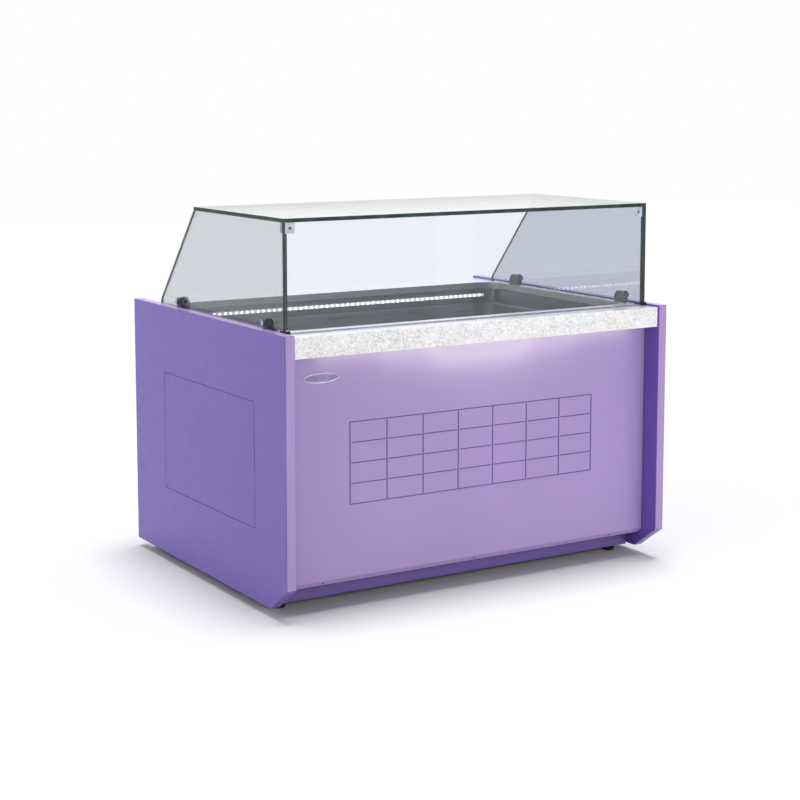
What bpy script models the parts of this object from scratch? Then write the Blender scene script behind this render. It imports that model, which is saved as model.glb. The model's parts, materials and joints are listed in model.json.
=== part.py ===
"""Ice cream dipping cabinet: a refrigerated stone-topped well under a glass canopy, on a painted body.

The frame is +Z up with the origin on the floor under the middle of the object. The customer's side
faces -Y. Depths in this file are measured back from the front edge of the side panels, and y_of turns
such a depth into a Y coordinate.
"""

import math

import bmesh
import bpy
from mathutils import Matrix, Vector

# ---------------------------------------------------------------- driving dimensions, metres
WIDTH = 1.340
DEPTH = 1.030
PANEL_BOTTOM = 0.026
PANEL_TOP = 0.810
GLASS_TOP = 1.124

PANEL_THICKNESS = 0.030
CHAMFER_TOP = 0.098
CHAMFER_BACK = 0.102
SHEET = 0.0015
GAP = 0.0003

FRONT_FACE = 0.067
KICK_DEPTH = 0.142
KICK_BOTTOM = 0.022
REAR_FACE = 0.985
REAR_BACK = REAR_FACE + 0.002

STONE_TOP = 0.804
STONE_SLAB = 0.020
STONE_FRONT = 0.005
FASCIA_BOTTOM = 0.743
FASCIA_THICKNESS = 0.025

WELL_HALF_WIDTH = 0.610
WELL_FRONT = 0.129
WELL_BACK = 0.875
RIM_CORNER = 0.060
TUB_CORNER = 0.032
WELL_FLOOR = 0.505
LEDGE_TOP = 0.731

TANK_BOTTOM = 0.470
TANK_FRONT = 0.0915
TANK_BACK = 0.925

GLASS = 0.008
TOP_GLASS = 0.010
CANOPY_HALF_WIDTH = 0.636
CANOPY_FRONT = 0.066
CANOPY_TOP_BACK = 0.645
CANOPY_BASE_BACK = 0.897

FOOT_X = 0.600
FOOT_FRONT = 0.185
FOOT_BACK = 0.945
BASE_TOP = 0.0635
RAIL_TOP = 0.0617
RAIL_BOTTOM = 0.030

# ---------------------------------------------------------------- derived planes
INNER_X = WIDTH / 2 - PANEL_THICKNESS
BODY_X = INNER_X - 0.0015
SLAB_BOTTOM = STONE_TOP - STONE_SLAB
GLASS_FOOT = STONE_TOP + GAP
TOP_PANE_BOTTOM = GLASS_TOP - TOP_GLASS
SIDE_PANE_INNER = CANOPY_HALF_WIDTH - GLASS
FRONT_PANE_BACK = CANOPY_FRONT + GLASS
WELL_MIDDLE = (WELL_FRONT + WELL_BACK) / 2
WELL_HALF_DEPTH = (WELL_BACK - WELL_FRONT) / 2

SIDES = (("left", -1), ("right", 1))

# ---------------------------------------------------------------- materials
FINISHES = {
    "purple_paint": ((0.36, 0.27, 0.58), 0.35, 0.0),
    "purple_paint_dark": ((0.16, 0.12, 0.32), 0.45, 0.0),
    "granite": ((0.83, 0.83, 0.82), 0.15, 0.0),
    "stainless": ((0.55, 0.56, 0.57), 0.30, 1.0),
    "foam_casing": ((0.75, 0.76, 0.77), 0.45, 0.6),
    "aluminium": ((0.80, 0.80, 0.81), 0.35, 1.0),
    "zinc": ((0.34, 0.35, 0.37), 0.35, 0.9),
    "light_diffuser": ((0.95, 0.96, 1.00), 0.30, 0.0),
    "glass": ((0.86, 0.93, 0.91), 0.02, 0.0),
    "black_rubber": ((0.03, 0.03, 0.03), 0.70, 0.0),
    "black_plastic": ((0.04, 0.04, 0.045), 0.45, 0.0),
    "white_plastic": ((0.80, 0.80, 0.80), 0.40, 0.0),
    "display": ((0.05, 0.01, 0.01), 0.10, 0.0),
    "black_enamel": ((0.02, 0.02, 0.02), 0.30, 0.3),
    "copper": ((0.72, 0.38, 0.22), 0.30, 1.0),
    "galvanised": ((0.60, 0.62, 0.63), 0.45, 0.9),
    "badge": ((0.10, 0.10, 0.14), 0.30, 0.2),
}


def finish(name):
    """The Principled material of that name, made once."""
    material = bpy.data.materials.get(name)
    if material:
        return material
    colour, roughness, metallic = FINISHES[name]
    material = bpy.data.materials.new(name)
    material.use_nodes = True
    shader = material.node_tree.nodes["Principled BSDF"]
    shader.inputs["Base Color"].default_value = (*colour, 1.0)
    shader.inputs["Roughness"].default_value = roughness
    shader.inputs["Metallic"].default_value = metallic
    return material


# ---------------------------------------------------------------- scene helpers
def clear_scene():
    for obj in list(bpy.data.objects):
        bpy.data.objects.remove(obj, do_unlink=True)


def add_collection(name):
    group = bpy.data.collections.new(name)
    bpy.context.scene.collection.children.link(group)
    return group


clear_scene()
PARTS = add_collection("ice_cream_dipping_cabinet")
CUTTERS = add_collection("cutters")
CUTTERS.hide_render = True


def y_of(depth):
    return depth - DEPTH / 2


def add_object(name, data, material, location=(0, 0, 0)):
    """Links data as a visible part, or as a cutter when it has no material."""
    obj = bpy.data.objects.new(name, data)
    obj.location = location
    if material:
        data.materials.append(finish(material))
        PARTS.objects.link(obj)
    else:
        CUTTERS.objects.link(obj)
        obj.hide_render = True
        obj.display_type = "WIRE"
    return obj


def mesh_from(bm, name, smooth_angle=None):
    mesh = bpy.data.meshes.new(name)
    bm.to_mesh(mesh)
    bm.free()
    if smooth_angle:
        mesh.shade_smooth()
        mesh.set_sharp_from_angle(angle=math.radians(smooth_angle))
    return mesh


def box(name, x, depth, z, material=None):
    """A block between the two ends given along each axis, with its origin at its middle."""
    bm = bmesh.new()
    bmesh.ops.create_cube(bm, size=1.0)
    bmesh.ops.scale(bm, vec=(x[1] - x[0], depth[1] - depth[0], z[1] - z[0]), verts=bm.verts)
    middle = ((x[0] + x[1]) / 2, y_of((depth[0] + depth[1]) / 2), (z[0] + z[1]) / 2)
    return add_object(name, mesh_from(bm, name), material, middle)


AXIS_TURN = {
    "x": Matrix.Rotation(math.pi / 2, 4, "Y"),
    "y": Matrix.Rotation(-math.pi / 2, 4, "X"),
    "z": Matrix.Identity(4),
}


def cylinder(name, radius, length, centre, axis, material=None, segments=24, tip_radius=None):
    """A round bar or cone about an axis through centre, which is (x, depth, z)."""
    bm = bmesh.new()
    bmesh.ops.create_cone(
        bm,
        cap_ends=True,
        segments=segments,
        radius1=radius,
        radius2=radius if tip_radius is None else tip_radius,
        depth=length,
    )
    bmesh.ops.transform(bm, matrix=AXIS_TURN[axis], verts=bm.verts)
    x, depth, z = centre
    return add_object(name, mesh_from(bm, name, 35), material, (x, y_of(depth), z))


def turned(name, profile, centre, axis, material=None, steps=24):
    """A body turned about an axis: the profile lists (radius, height) down its outer side, top to bottom."""
    bm = bmesh.new()
    points = [bm.verts.new((radius, 0, height)) for radius, height in profile]
    for first, second in zip(points, points[1:]):
        bm.edges.new((first, second))
    mesh = mesh_from(bm, name)
    x, depth, z = centre
    obj = add_object(name, mesh, material, (x, y_of(depth), z))
    obj.rotation_euler = AXIS_TURN[axis].to_euler()
    screw = obj.modifiers.new("turn", "SCREW")
    screw.steps = steps
    screw.render_steps = steps
    screw.use_merge_vertices = True
    screw.merge_threshold = 0.0001
    screw.use_smooth_shade = True
    return obj


PLANE_TURN = {
    "xy": Matrix.Identity(4),
    "xz": Matrix.Rotation(math.pi / 2, 4, "X"),
    "yz": Matrix.Rotation(math.pi / 2, 4, "Z") @ Matrix.Rotation(math.pi / 2, 4, "X"),
}


def flat_curve(name, outlines, thickness):
    """A filled 2D curve object of closed straight-sided outlines; an outline inside another is a hole."""
    curve = bpy.data.curves.new(name, "CURVE")
    curve.dimensions = "2D"
    curve.fill_mode = "BOTH"
    curve.extrude = thickness / 2
    for outline in outlines:
        spline = curve.splines.new("POLY")
        spline.points.add(len(outline) - 1)
        for point, (first, second) in zip(spline.points, outline):
            point.co = (first, second, 0, 1)
        spline.use_cyclic_u = True
    return bpy.data.objects.new(name, curve)


def plate(name, outlines, plane, level, material=None):
    """A flat sheet with outlines in a plane, between the two levels along the plane's normal.

    The outlines are (x, y) pairs on plane xy, (x, z) pairs on xz and (y, z) pairs on yz.
    """
    source = flat_curve(name + "_outline", outlines, abs(level[1] - level[0]))
    CUTTERS.objects.link(source)
    bpy.context.view_layer.update()
    evaluated = source.evaluated_get(bpy.context.evaluated_depsgraph_get())
    mesh = bpy.data.meshes.new_from_object(evaluated)
    mesh.name = name
    bm = bmesh.new()
    bm.from_mesh(mesh)
    bmesh.ops.remove_doubles(bm, verts=bm.verts, dist=0.00001)
    bmesh.ops.dissolve_limit(bm, angle_limit=0.001, verts=bm.verts, edges=bm.edges)
    bmesh.ops.recalc_face_normals(bm, faces=bm.faces)
    bmesh.ops.transform(bm, matrix=PLANE_TURN[plane], verts=bm.verts)
    bm.to_mesh(mesh)
    bm.free()
    curve = source.data
    bpy.data.objects.remove(source)
    bpy.data.curves.remove(curve)
    mesh.materials.clear()
    middle = (level[0] + level[1]) / 2
    place = {"xy": (0, 0, middle), "xz": (0, middle, 0), "yz": (middle, 0, 0)}[plane]
    return add_object(name, mesh, material, place)


def tube(name, points, radius, material):
    """A round tube through (x, depth, z) points, which are joined by straight runs."""
    curve = bpy.data.curves.new(name, "CURVE")
    curve.dimensions = "3D"
    curve.bevel_depth = radius
    curve.bevel_resolution = 2
    curve.use_fill_caps = True
    spline = curve.splines.new("POLY")
    spline.points.add(len(points) - 1)
    for point, (x, depth, z) in zip(spline.points, points):
        point.co = (x, y_of(depth), z, 1)
    return add_object(name, curve, material)


def as_mesh(source):
    """Replaces a curve object by a mesh object of the same name and material, with its caps welded."""
    bpy.context.view_layer.update()
    mesh = bpy.data.meshes.new_from_object(source.evaluated_get(bpy.context.evaluated_depsgraph_get()))
    bm = bmesh.new()
    bm.from_mesh(mesh)
    bmesh.ops.remove_doubles(bm, verts=bm.verts, dist=0.00001)
    bm.to_mesh(mesh)
    bm.free()
    name = source.name
    material = source.data.materials[0].name
    place = source.matrix_world.copy()
    curve = source.data
    bpy.data.objects.remove(source)
    bpy.data.curves.remove(curve)
    mesh.materials.clear()
    obj = add_object(name, mesh, material)
    obj.matrix_world = place
    return obj


def cut(target, cutter):
    modifier = target.modifiers.new("cut_" + cutter.name, "BOOLEAN")
    modifier.operation = "DIFFERENCE"
    modifier.object = cutter


def fuse(target, *tools):
    """Joins helper shapes into the target as one body."""
    for tool in tools:
        modifier = target.modifiers.new("join_" + tool.name, "BOOLEAN")
        modifier.operation = "UNION"
        modifier.object = tool


def bevel(obj, width, segments=1, angle=40):
    modifier = obj.modifiers.new("edges", "BEVEL")
    modifier.width = width
    modifier.segments = segments
    modifier.limit_method = "ANGLE"
    modifier.angle_limit = math.radians(angle)


def around(middle, half):
    """The two ends of a span that reaches half to either side of its middle."""
    return (middle - half, middle + half)


def rectangle(first, second):
    """The four corners of an upright rectangle between two ends along each axis."""
    return [(first[0], second[0]), (first[1], second[0]), (first[1], second[1]), (first[0], second[1])]


def arc(centre, radius, start, end, segments):
    """Points on an arc between two angles in degrees, both ends included."""
    angles = [math.radians(start + (end - start) * step / segments) for step in range(segments + 1)]
    return [(centre[0] + radius * math.cos(a), centre[1] + radius * math.sin(a)) for a in angles]


def rounded_rectangle(half_width, half_depth, radius, segments=6, middle=(0, 0)):
    points = []
    for quarter, (sign_x, sign_y) in enumerate(((1, 1), (-1, 1), (-1, -1), (1, -1))):
        centre = (
            middle[0] + sign_x * (half_width - radius),
            middle[1] + sign_y * (half_depth - radius),
        )
        points += arc(centre, radius, 90 * quarter, 90 * quarter + 90, segments)
    return points


def loft(name, rings, material, thickness):
    """A tub: a skin through stacked closed rings of 3D points, the last one filled, thickened outwards."""
    bm = bmesh.new()
    previous = None
    for ring in rings:
        verts = [bm.verts.new(point) for point in ring]
        edges = [bm.edges.new((verts[i - 1], verts[i])) for i in range(len(verts))]
        if previous:
            bmesh.ops.bridge_loops(bm, edges=previous + edges)
        previous = edges
    bmesh.ops.contextual_create(bm, geom=previous)
    bmesh.ops.recalc_face_normals(bm, faces=bm.faces)
    obj = add_object(name, mesh_from(bm, name, 30), material)
    solid = obj.modifiers.new("wall", "SOLIDIFY")
    solid.thickness = thickness
    solid.offset = 1
    return obj


def folded_sheet(name, section, x, thickness, material):
    """A bent sheet: an open section of (depth, z) points carried along X and thickened towards its back."""
    bm = bmesh.new()
    verts = [bm.verts.new((x[0], y_of(depth), z)) for depth, z in section]
    edges = [bm.edges.new(pair) for pair in zip(verts, verts[1:])]
    swept = bmesh.ops.extrude_edge_only(bm, edges=edges)
    moved = [item for item in swept["geom"] if isinstance(item, bmesh.types.BMVert)]
    bmesh.ops.translate(bm, vec=(x[1] - x[0], 0, 0), verts=moved)
    obj = add_object(name, mesh_from(bm, name), material)
    solid = obj.modifiers.new("sheet", "SOLIDIFY")
    solid.thickness = thickness
    solid.offset = 1
    solid.use_even_offset = True
    return obj


def boxes(name, blocks):
    """One cutter made of separate blocks, each given by its ends along x, depth and z."""
    bm = bmesh.new()
    for x, depth, z in blocks:
        made = bmesh.ops.create_cube(bm, size=1.0)["verts"]
        bmesh.ops.scale(bm, vec=(x[1] - x[0], depth[1] - depth[0], z[1] - z[0]), verts=made)
        middle = ((x[0] + x[1]) / 2, y_of((depth[0] + depth[1]) / 2), (z[0] + z[1]) / 2)
        bmesh.ops.translate(bm, vec=middle, verts=made)
    return add_object(name, mesh_from(bm, name), None)


# ---------------------------------------------------------------- painted body
GROOVE_WIDTH = 0.003
SIDE_GROOVE_DEPTHS = (0.189, 0.804)
SIDE_GROOVE_HEIGHTS = (0.236, 0.604)


def make_side_panels():
    outline = [
        (y_of(0), CHAMFER_TOP),
        (y_of(CHAMFER_BACK), PANEL_BOTTOM),
        (y_of(DEPTH), PANEL_BOTTOM),
        (y_of(DEPTH), PANEL_TOP),
        (y_of(0), PANEL_TOP),
    ]
    groove_depth = 0.0015
    for side, sign in SIDES:
        outer = sign * WIDTH / 2
        thickness = sorted((sign * INNER_X, outer))
        panel = plate(f"side_panel_{side}", [outline], "yz", thickness, "purple_paint")
        bevel(panel, 0.0012)
        depths = [y_of(depth) for depth in SIDE_GROOVE_DEPTHS]
        inset = [depths[0] + GROOVE_WIDTH, depths[1] - GROOVE_WIDTH]
        heights = [SIDE_GROOVE_HEIGHTS[0] + GROOVE_WIDTH, SIDE_GROOVE_HEIGHTS[1] - GROOVE_WIDTH]
        ring = [rectangle(depths, SIDE_GROOVE_HEIGHTS), rectangle(inset, heights)]
        level = sorted((outer - sign * groove_depth, outer + sign * 0.01))
        cut(panel, plate(f"side_groove_{side}", ring, "yz", level))


GRID_HALF_WIDTH = 0.430
GRID_HEIGHTS = (0.3025, 0.540)
GRID_COLUMNS = 7
GRID_ROWS = 4
LIP_BACK = 0.012
LIP_DROP = 0.015
LIP_TOP = 0.091
LIP_SCREW_X = 0.516


def grid_grooves():
    """Whole lines along the top and bottom, uprights between them, and level lines in each column."""
    column = 2 * GRID_HALF_WIDTH / GRID_COLUMNS
    row = (GRID_HEIGHTS[1] - GRID_HEIGHTS[0]) / GRID_ROWS
    depth = (FRONT_FACE - 0.01, FRONT_FACE + 0.0008)
    upright, level, web, short_by = 0.0040, 0.0032, 0.0005, 0.0050
    reach = GRID_HALF_WIDTH + upright / 2
    height = (GRID_HEIGHTS[0] + level / 2 + web, GRID_HEIGHTS[1] - level / 2 - web)
    blocks = [((-reach, reach), depth, (z - level / 2, z + level / 2)) for z in GRID_HEIGHTS]
    for index in range(GRID_COLUMNS + 1):
        x = -GRID_HALF_WIDTH + index * column
        blocks.append(((x - upright / 2, x + upright / 2), depth, height))
    for index in range(1, GRID_ROWS):
        z = GRID_HEIGHTS[0] + index * row
        for place in range(GRID_COLUMNS):
            x = -GRID_HALF_WIDTH + place * column
            end = x + column - upright / 2 - web
            blocks.append(((x + short_by, end), depth, (z - level / 2, z + level / 2)))
    return boxes("front_grid_grooves", blocks)


def make_front_panel():
    section = [
        (FRONT_FACE + 0.015, SLAB_BOTTOM - 0.001),
        (FRONT_FACE, SLAB_BOTTOM - 0.001),
        (FRONT_FACE, LIP_TOP),
        (FRONT_FACE + LIP_BACK, LIP_TOP - LIP_DROP),
        (KICK_DEPTH - 0.001, LIP_TOP - LIP_DROP),
    ]
    panel = folded_sheet("front_panel", section, (-BODY_X, BODY_X), SHEET, "purple_paint")
    cut(panel, grid_grooves())
    for index, x in enumerate((-LIP_SCREW_X, 0, LIP_SCREW_X)):
        middle = (x, FRONT_FACE + LIP_BACK / 2, LIP_TOP - LIP_DROP / 2)
        hole = cylinder(f"lip_screw_hole_{index}", 0.0022, 0.012, middle, "y", None, 10)
        hole.rotation_euler = (math.atan2(LIP_BACK, LIP_DROP), 0, 0)
        cut(panel, hole)


def make_kick_plate():
    back = KICK_DEPTH + SHEET
    height = (KICK_BOTTOM, LIP_TOP - LIP_DROP - SHEET - 0.001)
    box("kick_plate", (-BODY_X, BODY_X), (KICK_DEPTH, back), height, "purple_paint_dark")


def make_badge():
    """A blank oval plate with a raised rim."""
    half_width, half_height = 0.058, 0.015
    middle = (-0.523, 0.675)
    outline = [
        (middle[0] + half_width * math.cos(turn), middle[1] + half_height * math.sin(turn))
        for turn in (math.tau * step / 32 for step in range(32))
    ]
    level = (y_of(FRONT_FACE - GAP - 0.0022), y_of(FRONT_FACE - GAP))
    # The xz plane's normal is -Y, which a closed plate doesn't notice.
    plate("badge", [outline], "xz", level, "badge")


# ---------------------------------------------------------------- stone top
def make_countertop():
    outer = rectangle((-BODY_X, BODY_X), (y_of(STONE_FRONT), y_of(DEPTH - STONE_FRONT)))
    clearance = SHEET + 0.0005
    hole = rounded_rectangle(
        WELL_HALF_WIDTH + clearance,
        WELL_HALF_DEPTH + clearance,
        RIM_CORNER + clearance,
        middle=(0, y_of(WELL_MIDDLE)),
    )
    top = plate("countertop", [outer, hole], "xy", (SLAB_BOTTOM, STONE_TOP), "granite")
    for name, start in (("front", STONE_FRONT), ("rear", DEPTH - STONE_FRONT - FASCIA_THICKNESS)):
        strip = (start, start + FASCIA_THICKNESS)
        height = (FASCIA_BOTTOM, SLAB_BOTTOM + 0.004)
        fuse(top, box(f"fascia_{name}", (-BODY_X, BODY_X), strip, height))


# ---------------------------------------------------------------- refrigerated well
RECESS = 0.006
LEDGE = 0.014


def well_ring(outset, z, corner=TUB_CORNER):
    """A level ring round the well: outset outside the rim's inner face, with a plan corner radius."""
    middle = (0, y_of(WELL_MIDDLE))
    outline = rounded_rectangle(WELL_HALF_WIDTH + outset, WELL_HALF_DEPTH + outset, corner, middle=middle)
    return [(x, y, z) for x, y in outline]


LINE_PORT = (-0.565, 0.770)
DRAIN = (-0.520, 0.210)


def make_well():
    """The stainless tub and its casing: an upright rim, a lamp recess, a pan ledge, then straight walls."""
    rings = [
        well_ring(0, STONE_TOP + 0.0005, RIM_CORNER),
        well_ring(0, 0.783, RIM_CORNER),
        well_ring(RECESS, 0.780),
        well_ring(RECESS, LEDGE_TOP + 0.002),
        well_ring(-LEDGE, LEDGE_TOP),
        well_ring(-LEDGE, WELL_FLOOR + 0.018),
        well_ring(-LEDGE - 0.006, WELL_FLOOR + 0.006),
        well_ring(-LEDGE - 0.018, WELL_FLOOR),
    ]
    liner = loft("well_liner", rings, "stainless", SHEET)
    below = (TANK_BOTTOM - 0.01, WELL_FLOOR + 0.01)
    middle_z = sum(below) / 2
    length = below[1] - below[0]
    port = cylinder("line_port", 0.016, length, (*LINE_PORT, middle_z), "z", None, 20)
    drain = cylinder("drain_port", 0.0145, length, (*DRAIN, middle_z), "z", None, 20)
    wall_gap = 0.0025
    casing_x = (-INNER_X + wall_gap, INNER_X - wall_gap)
    casing_z = (TANK_BOTTOM, SLAB_BOTTOM - 0.0005)
    casing = box("tank_insulation", casing_x, (TANK_FRONT, TANK_BACK), casing_z, "foam_casing")
    hollow_rings = [
        well_ring(RECESS + wall_gap, SLAB_BOTTOM + 0.01, TUB_CORNER + wall_gap),
        well_ring(RECESS + wall_gap, LEDGE_TOP - 0.001, TUB_CORNER + wall_gap),
        well_ring(-LEDGE + wall_gap, LEDGE_TOP - 0.004, TUB_CORNER + wall_gap),
        well_ring(-LEDGE + wall_gap, WELL_FLOOR + 0.010, TUB_CORNER + wall_gap),
        well_ring(-LEDGE + wall_gap - 0.010, WELL_FLOOR - 0.0025, TUB_CORNER + wall_gap),
    ]
    hollow = closed_loft("tank_hollow", hollow_rings)
    cut(casing, hollow)
    for cutter in (port, drain):
        cut(liner, cutter)
        cut(casing, cutter)


def closed_loft(name, rings):
    """A solid through stacked closed rings, with both ends filled, used as a cutter."""
    bm = bmesh.new()
    previous = None
    for index, ring in enumerate(rings):
        verts = [bm.verts.new(point) for point in ring]
        edges = [bm.edges.new((verts[i - 1], verts[i])) for i in range(len(verts))]
        if index in (0, len(rings) - 1):
            bm.faces.new(verts)
        if previous:
            bmesh.ops.bridge_loops(bm, edges=previous + edges)
        previous = edges
    bmesh.ops.recalc_face_normals(bm, faces=bm.faces)
    return add_object(name, mesh_from(bm, name), None)


LAMP_HALF_LENGTH = 0.583
LAMP_Z = (0.7535, 0.7665)
LAMP_BACK = WELL_BACK + RECESS - 0.0007


def make_lamp():
    """A light strip in an aluminium profile on the well's rear wall."""
    length = (-LAMP_HALF_LENGTH, LAMP_HALF_LENGTH)
    profile = box("lamp_profile", length, (LAMP_BACK - 0.008, LAMP_BACK), LAMP_Z, "aluminium")
    slot_x = (length[0] + 0.003, length[1] - 0.003)
    slot_z = (LAMP_Z[0] + 0.0018, LAMP_Z[1] - 0.0018)
    cut(profile, boxes("lamp_slot", [(slot_x, (LAMP_BACK - 0.010, LAMP_BACK - 0.004), slot_z)]))
    strip_x = (slot_x[0] + 0.0005, slot_x[1] - 0.0005)
    strip_z = (slot_z[0] + 0.0004, slot_z[1] - 0.0004)
    box("lamp_strip", strip_x, (LAMP_BACK - 0.0073, LAMP_BACK - 0.0043), strip_z, "light_diffuser")


FALSE_FLOOR = (0.5453, 0.5468)
AIR_FAN_DEPTH = 0.300
AIR_FAN_HALF = 0.0670


def make_false_floor():
    """The lift-out plate over the evaporator, with two rows of air slots and a leg along its front."""
    edge = 0.0175
    corner = TUB_CORNER
    middle = (0, y_of(WELL_MIDDLE))
    outline = rounded_rectangle(WELL_HALF_WIDTH - edge, WELL_HALF_DEPTH - edge, corner, middle=middle)
    columns, pitch, half_slot = 24, 0.046, 0.008
    through = (FALSE_FLOOR[0] - 0.01, FALSE_FLOOR[1] + 0.01)
    slots = []
    for index in range(columns):
        x = (index - (columns - 1) / 2) * pitch
        across = (x - half_slot, x + half_slot)
        slots += [(across, (0.185, 0.235), through), (across, (0.800, 0.835), through)]
    floor = plate("well_floor", [outline], "xy", FALSE_FLOOR, "stainless")
    cut(floor, boxes("floor_slots", slots))
    leg_front = WELL_FRONT + 0.034
    leg_z = (WELL_FLOOR + GAP, FALSE_FLOOR[1] - 0.0005)
    fuse(floor, box("floor_leg", (-0.540, 0.540), (leg_front, leg_front + SHEET), leg_z))


EVAPORATOR_END = -0.524
EVAPORATOR_DEPTH = (0.480, 0.790)


def fin_slots(name, ends, pitch, fin, depth, z):
    """Air gaps between coarse upright fins that follow each other along X."""
    count = int((ends[1] - ends[0] - fin) / pitch)
    first = (ends[0] + ends[1] - (count - 1) * pitch) / 2
    half_gap = (pitch - fin) / 2
    middles = [first + index * pitch for index in range(count)]
    return boxes(name, [((x - half_gap, x + half_gap), depth, z) for x in middles])


def make_evaporator():
    """A finned block between end plates, lying under the false floor."""
    low, high = WELL_FLOOR + 0.004, 0.545
    core_end = -EVAPORATOR_END - 0.004
    ends = (-core_end, core_end)
    core = box("evaporator", ends, EVAPORATOR_DEPTH, (low + 0.003, high - 0.003), "aluminium")
    gap_depth = (EVAPORATOR_DEPTH[0] - 0.01, EVAPORATOR_DEPTH[1] + 0.01)
    cut(core, fin_slots("evaporator_gaps", ends, 0.016, 0.004, gap_depth, (low + 0.007, high)))
    for side, sign in SIDES:
        end = sorted((sign * (core_end - 0.001), -sign * EVAPORATOR_END))
        wider = (EVAPORATOR_DEPTH[0] - 0.004, EVAPORATOR_DEPTH[1] + 0.004)
        fuse(core, box(f"evaporator_end_{side}", end, wider, (low, high)))


def fan_rotor(name, centre, axis, hub_radius, tip_radius, width, blades, pitch, material):
    """A hub with flat pitched blades; the origin is on the axis of rotation."""
    hub = cylinder(name, hub_radius, width, centre, axis, material, 20)
    turn = AXIS_TURN[axis]
    x, depth, z = centre
    place = Matrix.Translation((x, y_of(depth), z))
    for index in range(blades):
        blade = cylinder_blade(f"{name}_blade_{index}", hub_radius, tip_radius, width)
        spin = Matrix.Rotation(math.tau * index / blades, 4, "Z")
        tilt = Matrix.Rotation(math.radians(pitch), 4, "X")
        blade.matrix_world = place @ turn @ spin @ tilt
        fuse(hub, blade)
    return hub


def cylinder_blade(name, hub_radius, tip_radius, width):
    """One blade along +X, wider at its tip, before it is pitched about its own length."""
    chord_root, chord_tip, thickness = width * 1.1, width * 1.9, 0.0016
    outline = [
        (hub_radius * 0.7, -chord_root / 2),
        (tip_radius * 0.985, -chord_tip / 2),
        (tip_radius, 0),
        (tip_radius * 0.985, chord_tip / 2),
        (hub_radius * 0.7, chord_root / 2),
    ]
    return plate(name, [outline], "xy", (-thickness / 2, thickness / 2))


def make_air_fan():
    """The fan before the evaporator: a square frame on pads, a cross that holds the motor, and a rotor."""
    z = (WELL_FLOOR + 0.0055, WELL_FLOOR + 0.0375)
    half, bore, arm = AIR_FAN_HALF, 0.0645, 0.004
    depth = (AIR_FAN_DEPTH - half, AIR_FAN_DEPTH + half)
    frame = box("air_fan_frame", (-half, half), depth, z, "black_plastic")
    cut(frame, cylinder("air_fan_bore", bore, 0.05, (0, AIR_FAN_DEPTH, sum(z) / 2), "z", None, 32))
    reach = bore + 0.001
    arm_z = (z[0], z[0] + 0.004)
    across = box("air_fan_arm", (-reach, reach), (AIR_FAN_DEPTH - arm, AIR_FAN_DEPTH + arm), arm_z)
    along = box("air_fan_cross", (-arm, arm), (AIR_FAN_DEPTH - reach, AIR_FAN_DEPTH + reach), arm_z)
    motor = cylinder("air_fan_motor", 0.024, 0.006, (0, AIR_FAN_DEPTH, z[0] + 0.003), "z", None, 20)
    fuse(frame, across, along, motor)
    for index, (sign_x, sign_y) in enumerate(((1, 1), (-1, 1), (-1, -1), (1, -1))):
        pad_middle = half - 0.0065
        pad_x = around(sign_x * pad_middle, 0.0055)
        pad_depth = around(AIR_FAN_DEPTH + sign_y * pad_middle, 0.0055)
        fuse(frame, box(f"air_fan_pad_{index}", pad_x, pad_depth, (WELL_FLOOR + GAP, z[0] + 0.001)))
    middle = (0, AIR_FAN_DEPTH, z[0] + 0.0185)
    fan_rotor("air_fan_rotor", middle, "z", 0.023, 0.0615, 0.018, 5, 32, "black_plastic")


def make_drain():
    profile = [
        (0.011, 0.0020),
        (0.021, 0.0012),
        (0.021, 0.0004),
        (0.0138, 0.0004),
        (0.0138, -0.020),
        (0.0120, -0.022),
        (0.0120, -0.062),
        (0.0100, -0.062),
        (0.0100, 0.0),
    ]
    turned("drain_outlet", profile + profile[:1], (*DRAIN, WELL_FLOOR), "z", "stainless", 20)


# ---------------------------------------------------------------- base and feet
def make_base():
    plate_x = (-INNER_X + 0.001, INNER_X - 0.001)
    plate_z = (BASE_TOP - SHEET, BASE_TOP)
    box("base_plate", plate_x, (KICK_DEPTH + 0.003, REAR_FACE - 0.001), plate_z, "galvanised")
    for name, depth in (("front", FOOT_FRONT), ("rear", FOOT_BACK)):
        half, wall = 0.015, 0.002
        length = (-INNER_X + 0.002, INNER_X - 0.002)
        rail_z = (RAIL_BOTTOM, RAIL_TOP)
        rail = box(f"base_rail_{name}", length, (depth - half, depth + half), rail_z, "galvanised")
        inside = (depth - half + wall, depth + half - wall)
        through = (-INNER_X - 0.01, INNER_X + 0.01)
        cut(rail, box(f"rail_hollow_{name}", through, inside, (RAIL_BOTTOM + wall, RAIL_TOP - wall)))
        for side, sign in SIDES:
            centre = (sign * FOOT_X, depth, RAIL_BOTTOM + wall / 2)
            cut(rail, cylinder(f"foot_hole_{name}_{side}", 0.0058, 0.01, centre, "z", None, 20))


def make_feet():
    profile = [
        (0.0, 0.052),
        (0.0042, 0.052),
        (0.0050, 0.051),
        (0.0050, 0.0297),
        (0.0120, 0.0297),
        (0.0120, 0.0230),
        (0.0080, 0.0225),
        (0.0080, 0.0150),
        (0.0165, 0.0120),
        (0.0200, 0.0080),
        (0.0200, 0.0010),
        (0.0190, 0.0),
        (0.0, 0.0),
    ]
    for name, depth in (("front", FOOT_FRONT), ("rear", FOOT_BACK)):
        for side, sign in SIDES:
            turned(f"foot_{name}_{side}", profile, (sign * FOOT_X, depth, 0), "z", "black_rubber", 18)


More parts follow.
